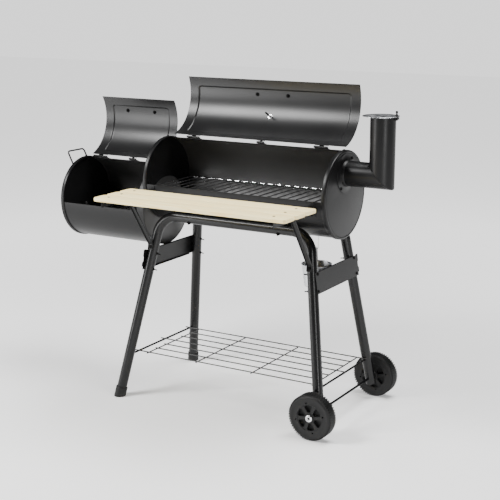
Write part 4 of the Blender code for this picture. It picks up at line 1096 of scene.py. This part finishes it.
# ---------- stand
def leg_line(side, front):
    f = -1 if front else 1
    if side == "left":
        return Vector((CORNER_XL, f * RAIL_Y, RAIL_Z)), Vector((FOOT_X, f * FOOT_Y, 0))
    return Vector((CORNER_XR, f * RAIL_Y, RAIL_Z)), Vector((AXLE_X, f * AXLE_LEG_Y, WHEEL_R))


def leg_at(side, front, z):
    corner, low = leg_line(side, front)
    return low + (corner - low) * ((z - low.z) / (corner.z - low.z))


BRACE_Z = (RAIL_Z - 0.1885, RAIL_Z - 0.1205)
AXLE = Vector((AXLE_X, 0, WHEEL_R))
for side in ("left", "right"):
    for front in (True, False):
        corner, low = leg_line(side, front)
        d = (corner - low).normalized()
        end = low + d * 0.0095 if side == "left" else low - d * 0.02
        x = -GAP / 2 if side == "left" else GAP / 2
        place = "front" if front else "rear"
        tube = pipe(bend_path([(x, corner.y, corner.z), corner, end], 0.075, 16), TUBE_R, TUBE_WALL)
        f = -1 if front else 1
        parts = []
        if side == "right":
            tube = carved(tube, [round_hole("Y", AXLE_R + GAP, -0.3, 0.3, AXLE, 24)])
        parts.append((tube, GLOSS))
        rail_x = 0.17 if side == "right" else -0.17
        lift = Vector((0, -corner.y, MAIN_Z - corner.z)).normalized()
        spot = Vector((rail_x, corner.y, corner.z)) - lift * TUBE_R
        spots = [(spot, -lift)]
        parts.append(bolts(spots, 0.0048, 0.0035, 0.0062, 0.0028, 0.009))
        sx = -1 if side == "left" else 1
        pins = []
        for z in (BRACE_Z[0] + 0.009, BRACE_Z[1] - 0.006):
            at = leg_at(side, front, z)
            inner = Vector((-sx * d.z, 0, sx * d.x)).normalized()
            pins.append((at + inner * TUBE_R, inner))
        parts.append(bolts(pins, 0.0036, 0.003, 0.004, 0.0019, 0.024))
        fitted(f"{place}_{side}_leg", parts, [f"leg_{place}_{side}"])
        if side == "right":
            continue
        u = d.orthogonal().normalized()
        v = d.cross(u)
        ring = [u * cos(a) + v * sin(a) for a in circle(48)]
        rc = TUBE_R + 0.003
        ground = [low + p * rc - d * ((low + p * rc).z / d.z) for p in ring]
        eased = [low + (g - low) * 0.965 for g in ground]
        bore = TUBE_R + 0.0005
        turns = ((0.0315, rc), (0.0336, rc - 0.0006), (0.034, rc - 0.0016), (0.034, bore), (0.009, bore))
        rings = [eased, [g + d * 0.0012 for g in ground]]
        rings += [[low + d * rise + p * r for p in ring] for rise, r in turns]
        fitted(f"{place}_foot_cap", [(skin(rings), PLASTIC)], [f"foot_{place}"])

for side, sx in (("left", -1), ("right", 1)):
    corner, low = leg_line(side, True)
    along = Vector((corner.x - low.x, 0, corner.z - low.z)).normalized()
    normal = Vector((along.z, 0, -along.x)) * sx
    normal = -normal if normal.x * sx < 0 else normal

    def on_brace(y, z, h, side=side, low=low, corner=corner, normal=normal):
        t = (z - low.z) / (corner.z - low.z)
        return Vector((low.x + (corner.x - low.x) * t, y, z)) + normal * (TUBE_R + GAP + h)

    z0, z1 = BRACE_Z
    leg_y = abs(leg_at(side, True, (z0 + z1) / 2).y)
    far, near = leg_y + 0.0213, -leg_y - 0.0093
    outline = [
        (near, z0), (far - 0.002, z0), (far - 0.002, z0 + 0.01), (far + 0.004, z0 + 0.012),
        (far + 0.004, z0 + 0.026), (far - 0.001, z0 + 0.029), (far - 0.001, z0 + 0.045),
        (far + 0.003, z0 + 0.048), (far + 0.003, z1 + 0.003), (far - 0.01, z1 + 0.003), (far - 0.012, z1),
        (near, z1),
    ]
    flip = -1 if side == "left" else 1
    plate = pushed([(y * flip, z) for y, z in outline], 0.0, 0.0018, on_brace)
    parts = [(plate, SATIN)]
    inside = leg_y - TUBE_R - 0.004
    for z in (z0 + 0.0008, z1 - 0.0008):
        fold = [on_brace(s * inside, z, 0.0009) for s in (-1, 1)]
        parts.append(
            (
                swept(
                    fold, [(-0.0008, -0.0065), (0.0008, -0.0065), (0.0008, 0.0012), (-0.0008, 0.0012)],
                    normal,
                ),
                SATIN,
            )
        )
    spots = []
    for s in (-1, 1):
        for z in (z0 + 0.009, z1 - 0.006):
            y = abs(leg_at(side, True, z).y) * s
            spots.append((on_brace(y, z, 0.0018), normal))
    parts.append(bolts(spots, 0.0042, 0.0026, 0.0046, sides=6))
    fitted(f"{side}_side_brace", parts, [f"side_brace_{side}"], soften=0.0003)

# ---------- axle and wheels
end_y = WHEEL_FACE_Y + 0.001
axle = turned(
    [
        (-end_y, 0), (-end_y, AXLE_R - 0.0006), (-end_y + 0.0006, AXLE_R), (end_y - 0.0006, AXLE_R),
        (end_y, AXLE_R - 0.0006), (end_y, 0),
    ],
    "Y", AXLE, 28,
)
fitted("axle_rod", [(axle, GLOSS)], ["axle"])


def wheel(front):
    """A moulded wheel: tread lugs, a rim ring with small holes, six pockets between spokes and a hub."""
    f = -1 if front else 1
    face, w, r = WHEEL_FACE_Y, WHEEL_W, WHEEL_R
    tread = r - 0.0022
    outline = measured(
        face,
        [
            (-0.0005, AXLE_R + GAP), (-0.0005, 0.0128), (-0.0012, 0.0136), (-0.0036, 0.015), (-0.004, 0.03),
            (-0.004, 0.0425), (-0.0022, 0.044), (-0.0026, 0.0455), (-0.003, 0.054), (-0.003, 0.06),
            (-0.0016, 0.0635), (-0.0022, 0.0672), (-0.006, tread - 0.001), (-0.01, tread),
            (0.01 - w, tread),
        ],
    )
    outline += [(2 * face - w - a, b) for a, b in outline[::-1]]
    body = turned([(f * a, b) for a, b in outline], "Y", AXLE, 120)

    def place(a, b, h):
        return Vector((AXLE_X + a, h, WHEEL_R + b))

    cutters = []
    for k in range(6):
        corners = [(0.25, 15.0), (0.5, 9.5), (0.545, 12.0), (0.558, 20.0), (0.562, 30.0), (0.558, 40.0)]
        corners += [(0.545, 48.0), (0.5, 50.5), (0.25, 45.0), (0.235, 38.0), (0.235, 22.0)]
        pocket = []
        for share, deg in corners:
            a = radians(60 * k + deg + 8)
            pocket.append((share * r * cos(a), share * r * sin(a)))
        cutters.append(pushed(pocket, f * (face - 0.015), f * (face + 0.01), place))
        cutters.append(pushed(pocket, f * (face - w - 0.01), f * (face - w + 0.015), place))
    for k in range(4):
        a = radians(90 * k + 14)
        centre = AXLE + Vector((0.655 * r * cos(a), 0, 0.655 * r * sin(a)))
        for start, end in ((face - 0.012, face + 0.01), (face - w - 0.01, face - w + 0.012)):
            low, high = sorted((f * start, f * end))
            cutters.append(round_hole("Y", 0.0028, low, high, centre, 20))
    body = carved(body, cutters)
    name = "front" if front else "rear"
    lug_meshes = []
    for row, first in ((0.012, 0.0), (w - 0.012, pi / 56), (w / 2, pi / 112)):
        lugs = grown(
            RING,
            {
                "Count": 56, "Radius": r - 0.0022,
                "Block Size": (0.0044, 0.0046, 0.015 if row != w / 2 else 0.01), "First Angle": first,
                "Finish": PLASTIC,
            },
        )
        lugs.transform(
            Matrix.Translation(AXLE + Vector((0, f * (face - row), 0))) @ Matrix.Rotation(pi / 2, 4, "X")
        )
        lug_meshes.append((lugs, PLASTIC))
    fitted(
        f"{name}_wheel", [(body, PLASTIC)] + lug_meshes, [f"wheel_{name}"],
        body=f"wheel_{name}", soften=0.0004,
    )
    cap = measured(
        face,
        [
            (GAP - 0.0005, AXLE_R + GAP), (GAP - 0.0005, 0.0116), (0.0008, 0.0118), (0.0022, 0.0112),
            (0.0034, 0.0092), (0.0036, 0.008), (0.003, 0.0064), (0.0016, 0.0056), (0.0014, AXLE_R + GAP),
        ],
    )
    cap = turned([(f * a, b) for a, b in cap], "Y", AXLE, 48)
    end = measured(face, [(0.001, 0), (0.001, 0.0038), (0.0018, 0.003), (0.0019, 0)])
    end = turned([(f * a, b) for a, b in end], "Y", AXLE, 24)
    fitted(f"{name}_hub_cap", [(cap, CHROME), (end, DARK_BOLT)], [f"hub_cap_{name}"])


wheel(True)
wheel(False)

# ---------- front shelf
SHELF_ARMS = (("left", -1, CORNER_XL - 0.021), ("right", 1, CORNER_XR + 0.015))
for k, which in enumerate(("front", "middle", "rear")):
    y0 = SHELF_FRONT + k * (SLAT_W + SLAT_GAP)
    y1 = y0 + SLAT_W
    mid_y = (y0 + y1) / 2
    hx = MX + 0.005
    c = 0.0105
    outline = []
    for cx, cy, a0 in (
        (hx - c, y0 + c, -90), (hx - c, y1 - c, 0), (c - hx, y1 - c, 90), (c - hx, y0 + c, 180)
    ):
        for q in range(9):
            a = radians(a0 + 11.25 * q)
            outline.append((cx + c * cos(a), cy + c * sin(a)))
    z1 = SHELF_TOP
    z0 = z1 - SLAT_T

    def ring_at(z, draw):
        sx, sy = (hx - draw) / hx, (SLAT_W / 2 - draw) / (SLAT_W / 2)
        return [Vector((x * sx, mid_y + (y - mid_y) * sy, z)) for x, y in outline]

    levels = [
        (z0, 0.0016), (z0 + 0.0004, 0.0007), (z0 + 0.0014, 0.0), (z1 - 0.0014, 0.0), (z1 - 0.0004, 0.0007),
        (z1, 0.0016),
    ]
    slat = skin([ring_at(z, draw) for z, draw in levels])
    screws = [((x, mid_y, z1 - 0.0006), (0, 0, 1)) for _, _, x in SHELF_ARMS]
    fitted(
        f"{which}_slat", [(slat, PINE), bolts(screws, 0.004, 0.0012, 0.0044, sides=20)],
        [f"shelf_slat_{which}"],
    )

under = SHELF_TOP - SLAT_T - GAP
for which, sx, x in SHELF_ARMS:
    x_out, x_in = x + sx * 0.0125, x - sx * 0.0125
    web_x = x_out - sx * 0.0015
    outline = [
        (x_out, under), (x_in, under), (x_in, under - 0.0015), (web_x, under - 0.0015),
        (web_x, under - 0.019), (x_out, under - 0.019),
    ]
    back = -sqrt((BARREL_R + 0.0004) ** 2 - (under - MAIN_Z) ** 2)
    arm = pushed(outline, SHELF_FRONT + 0.007, back - 0.0004, lambda a, b, h: Vector((a, h, b)))
    pad = sheet([x - 0.0125, x + 0.0125], even(93.5, 112, 10), BARREL_R + GAP + 0.0018, 0.0018, MAIN_Z)
    spots = [((x, *on_barrel(BARREL_R + GAP + 0.0018, 109.0, MAIN_Z)), outward(109.0)[0])]
    fitted(
        f"{which}_shelf_arm", [(arm, SATIN), (pad, SATIN), bolts(spots, 0.0042, 0.0026, 0.005)],
        [f"shelf_arm_{which}"], soften=0.0003,
    )
    corner, low = leg_line(which, True)
    d = (low - corner).normalized()
    dy = Vector((0, d.y, d.z)).normalized()
    off = Vector((0, dy.z, -dy.y))
    off = -off if off.y > 0 else off
    on_leg = leg_at(which, True, RAIL_Z - 0.098)
    start = Vector((x, on_leg.y, on_leg.z)) + off * (TUBE_R + 0.0016)
    tip = start + dy * 0.02
    top_z = under - 0.0015 - GAP - 0.001
    top_y = start.y - (top_z - start.z) * 0.68
    path = bend_path([tip, start, (x, top_y, top_z), (x, top_y - 0.03, top_z)], 0.004, 5)
    channel = [(-0.009, 0.0036), (-0.009, -0.001), (0.009, -0.001), (0.009, 0.0036)]
    channel += [(0.0078, 0.0036), (0.0078, 0.0002), (-0.0078, 0.0002), (-0.0078, 0.0036)]
    strut = swept(path, channel, (0, -0.6, 1))
    lower_bolt = bolts([(start + dy * 0.01 + off * 0.0012, off)], 0.0048, 0.0032, 0.006)
    fitted(f"{which}_shelf_strut", [(strut, SATIN), lower_bolt], [f"shelf_strut_{which}"], soften=0.0003)

# ---------- wire rack and grates
rod_z = RACK_Z - WIRE - ROD - GAP
ends = [leg_at(side, True, rod_z) for side in ("left", "right")]
rack_y = min(abs(p.y) for p in ends) - TUBE_R - 0.0044
rack_x = (ends[0].x - 0.009, ends[1].x + 0.009)
across = (pi / 2, 0, 0)
lengthways = (0, pi / 2, 0)
rack_mid = (rack_x[0] + rack_x[1]) / 2
span = rack_x[1] - rack_x[0]
cross_x = [rack_x[0] + span * share for share in (0.0746, 0.3469, 0.6396, 0.9472)]


def rack_wires(count, first, step, turn, length):
    sizes = {"Count": count, "First": first, "Step": step, "Turn": turn, "Length": length}
    return grown(BARS, {**sizes, "Radius": WIRE, "Finish": WIRE_BLACK}), WIRE_BLACK


inner_mid = (cross_x[0] + cross_x[-1]) / 2
inner_span = cross_x[-1] - cross_x[0] + 0.008
rack_parts = [rack_wires(3, (rack_mid, -rack_y, RACK_Z), (0, rack_y, 0), lengthways, span)]
for y in (-rack_y * 2 / 3, rack_y / 3):
    rack_parts.append(rack_wires(2, (inner_mid, y, RACK_Z), (0, rack_y / 3, 0), lengthways, inner_span))
for x in cross_x:
    rack_parts.append(rack_wires(1, (x, 0, RACK_Z - 0.0036), (0, 0, 0), across, 2 * rack_y + 0.007))
fitted("wire_rack", rack_parts, ["bottom_rack"], soften=0.0006)
for side, at in zip(("left", "right"), ends):
    y = abs(at.y) - TUBE_R - 0.001
    rod = turned([(-y, 0), (-y, ROD), (y, ROD), (y, 0)], "Y", (at.x, 0, rod_z), 24)
    fitted(f"{side}_rack_rod", [(rod, GLOSS)], [f"rack_rod_{side}"])


def lift_out_grate(name, node_name, x0, x1, zc, drop, rim_r, rod_r, count, finish):
    """A round-cornered wire loop under evenly spaced bars."""
    z = zc - drop
    lift = rim_r + rod_r - 0.001
    hy = sqrt((BARREL_R - SHEET) ** 2 - (drop + rim_r) ** 2) - 0.0012 - rim_r
    xm = (x0 + x1) / 2
    corners = [(xm, -hy, z), (x1, -hy, z), (x1, hy, z), (x0, hy, z), (x0, -hy, z), (xm, -hy, z)]
    loop = wire(bend_path(corners, 0.012, 8)[:-1], rim_r, 14, loop=True)
    step = (x1 - x0) / count
    bars = grown(
        BARS,
        {
            "Count": count, "First": (x0 + step / 2, 0, z + lift), "Step": (step, 0, 0), "Turn": across,
            "Length": 2 * (hy + 0.0008), "Radius": rod_r, "Finish": finish,
        },
    )
    fitted(name, [(loop, finish), (bars, finish)], [node_name], soften=0.0006)


lift_out_grate(
    "food_grate", "cooking_grate", -MX + 0.01, MX - 0.01, MAIN_Z, 0.016, 0.0025, 0.002, 20, CHROME,
)
lift_out_grate(
    "coal_grate", "charcoal_grate", FX0 + 0.012, fire_end - 0.022, FIRE_Z, 0.055, 0.003, 0.0026, 11,
    IRON_BARS,
)

# ---------- grease bucket
hook_r = 0.005
j_z = MAIN_Z - BARREL_R - 0.041
hook = [Vector((BUCKET_X + hook_r, 0, MAIN_Z - BARREL_R - GAP)), Vector((BUCKET_X + hook_r, 0, j_z))]
for k in range(1, 15):
    a = pi * k / 14
    hook.append(Vector((BUCKET_X + hook_r * cos(a), 0, j_z - hook_r * sin(a))))
hook.append(Vector((BUCKET_X - hook_r, 0, j_z + 0.004)))
fitted("fat_bucket_hook", [(wire(hook, 0.0013, 12, (0, 1, 0)), ZINC)], ["bucket_hook"])
apex_z = j_z - hook_r + 0.0013 + 0.0015 + GAP
ear_z = BUCKET_RIM_Z - 0.009
ear_out = BUCKET_R + 0.0035
flat = bend_path(
    [
        (-ear_out + 0.007, ear_z, 0), (-ear_out, ear_z, 0), (-ear_out, ear_z + 0.022, 0),
        (-0.011, apex_z, 0), (0.011, apex_z, 0), (ear_out, ear_z + 0.022, 0), (ear_out, ear_z, 0),
        (ear_out - 0.007, ear_z, 0),
    ],
    [0.002, 0.014, 0.008, 0.008, 0.014, 0.002], 7,
)
bail = wire(
    [Vector((BUCKET_X, 0, p.y)) + BAIL_DIR * p.x for p in flat], 0.0015, 12,
    Vector((0, 0, 1)).cross(BAIL_DIR),
)
fitted("bucket_bail_wire", [(bail, ZINC)], ["bucket_bail"], body="bail")
zt = BUCKET_RIM_Z
zb = zt - BUCKET_H
rt, rb = BUCKET_R, 0.04
bucket_outline = [
    (zb, 0), (zb, rb - 0.0006), (zb + 0.0006, rb), (zb + 0.004, rb + 0.0008), (zb + 0.0055, rb + 0.0004),
    (zt - 0.0042, rt - 0.0004), (zt - 0.0034, rt + 0.0006), (zt - 0.0022, rt + 0.0013),
    (zt - 0.0008, rt + 0.0012), (zt, rt + 0.0002), (zt - 0.0003, rt - 0.0008), (zt - 0.002, rt - 0.001),
    (zb + 0.001, rb - 0.001), (zb + 0.001, 0),
]
bucket = turned(bucket_outline, "Z", (BUCKET_X, 0, 0), 72)
sideways = (BAIL_DIR, Vector((0, 0, 1)), BAIL_DIR.cross(Vector((0, 0, 1))))
bucket = carved(
    bucket,
    [turned([(-0.08, 0), (-0.08, 0.0018), (0.08, 0.0018), (0.08, 0)], sideways, (BUCKET_X, 0, ear_z), 16)],
)
fitted("fat_bucket", [(bucket, SPANGLE)], ["grease_bucket"], body="bucket")
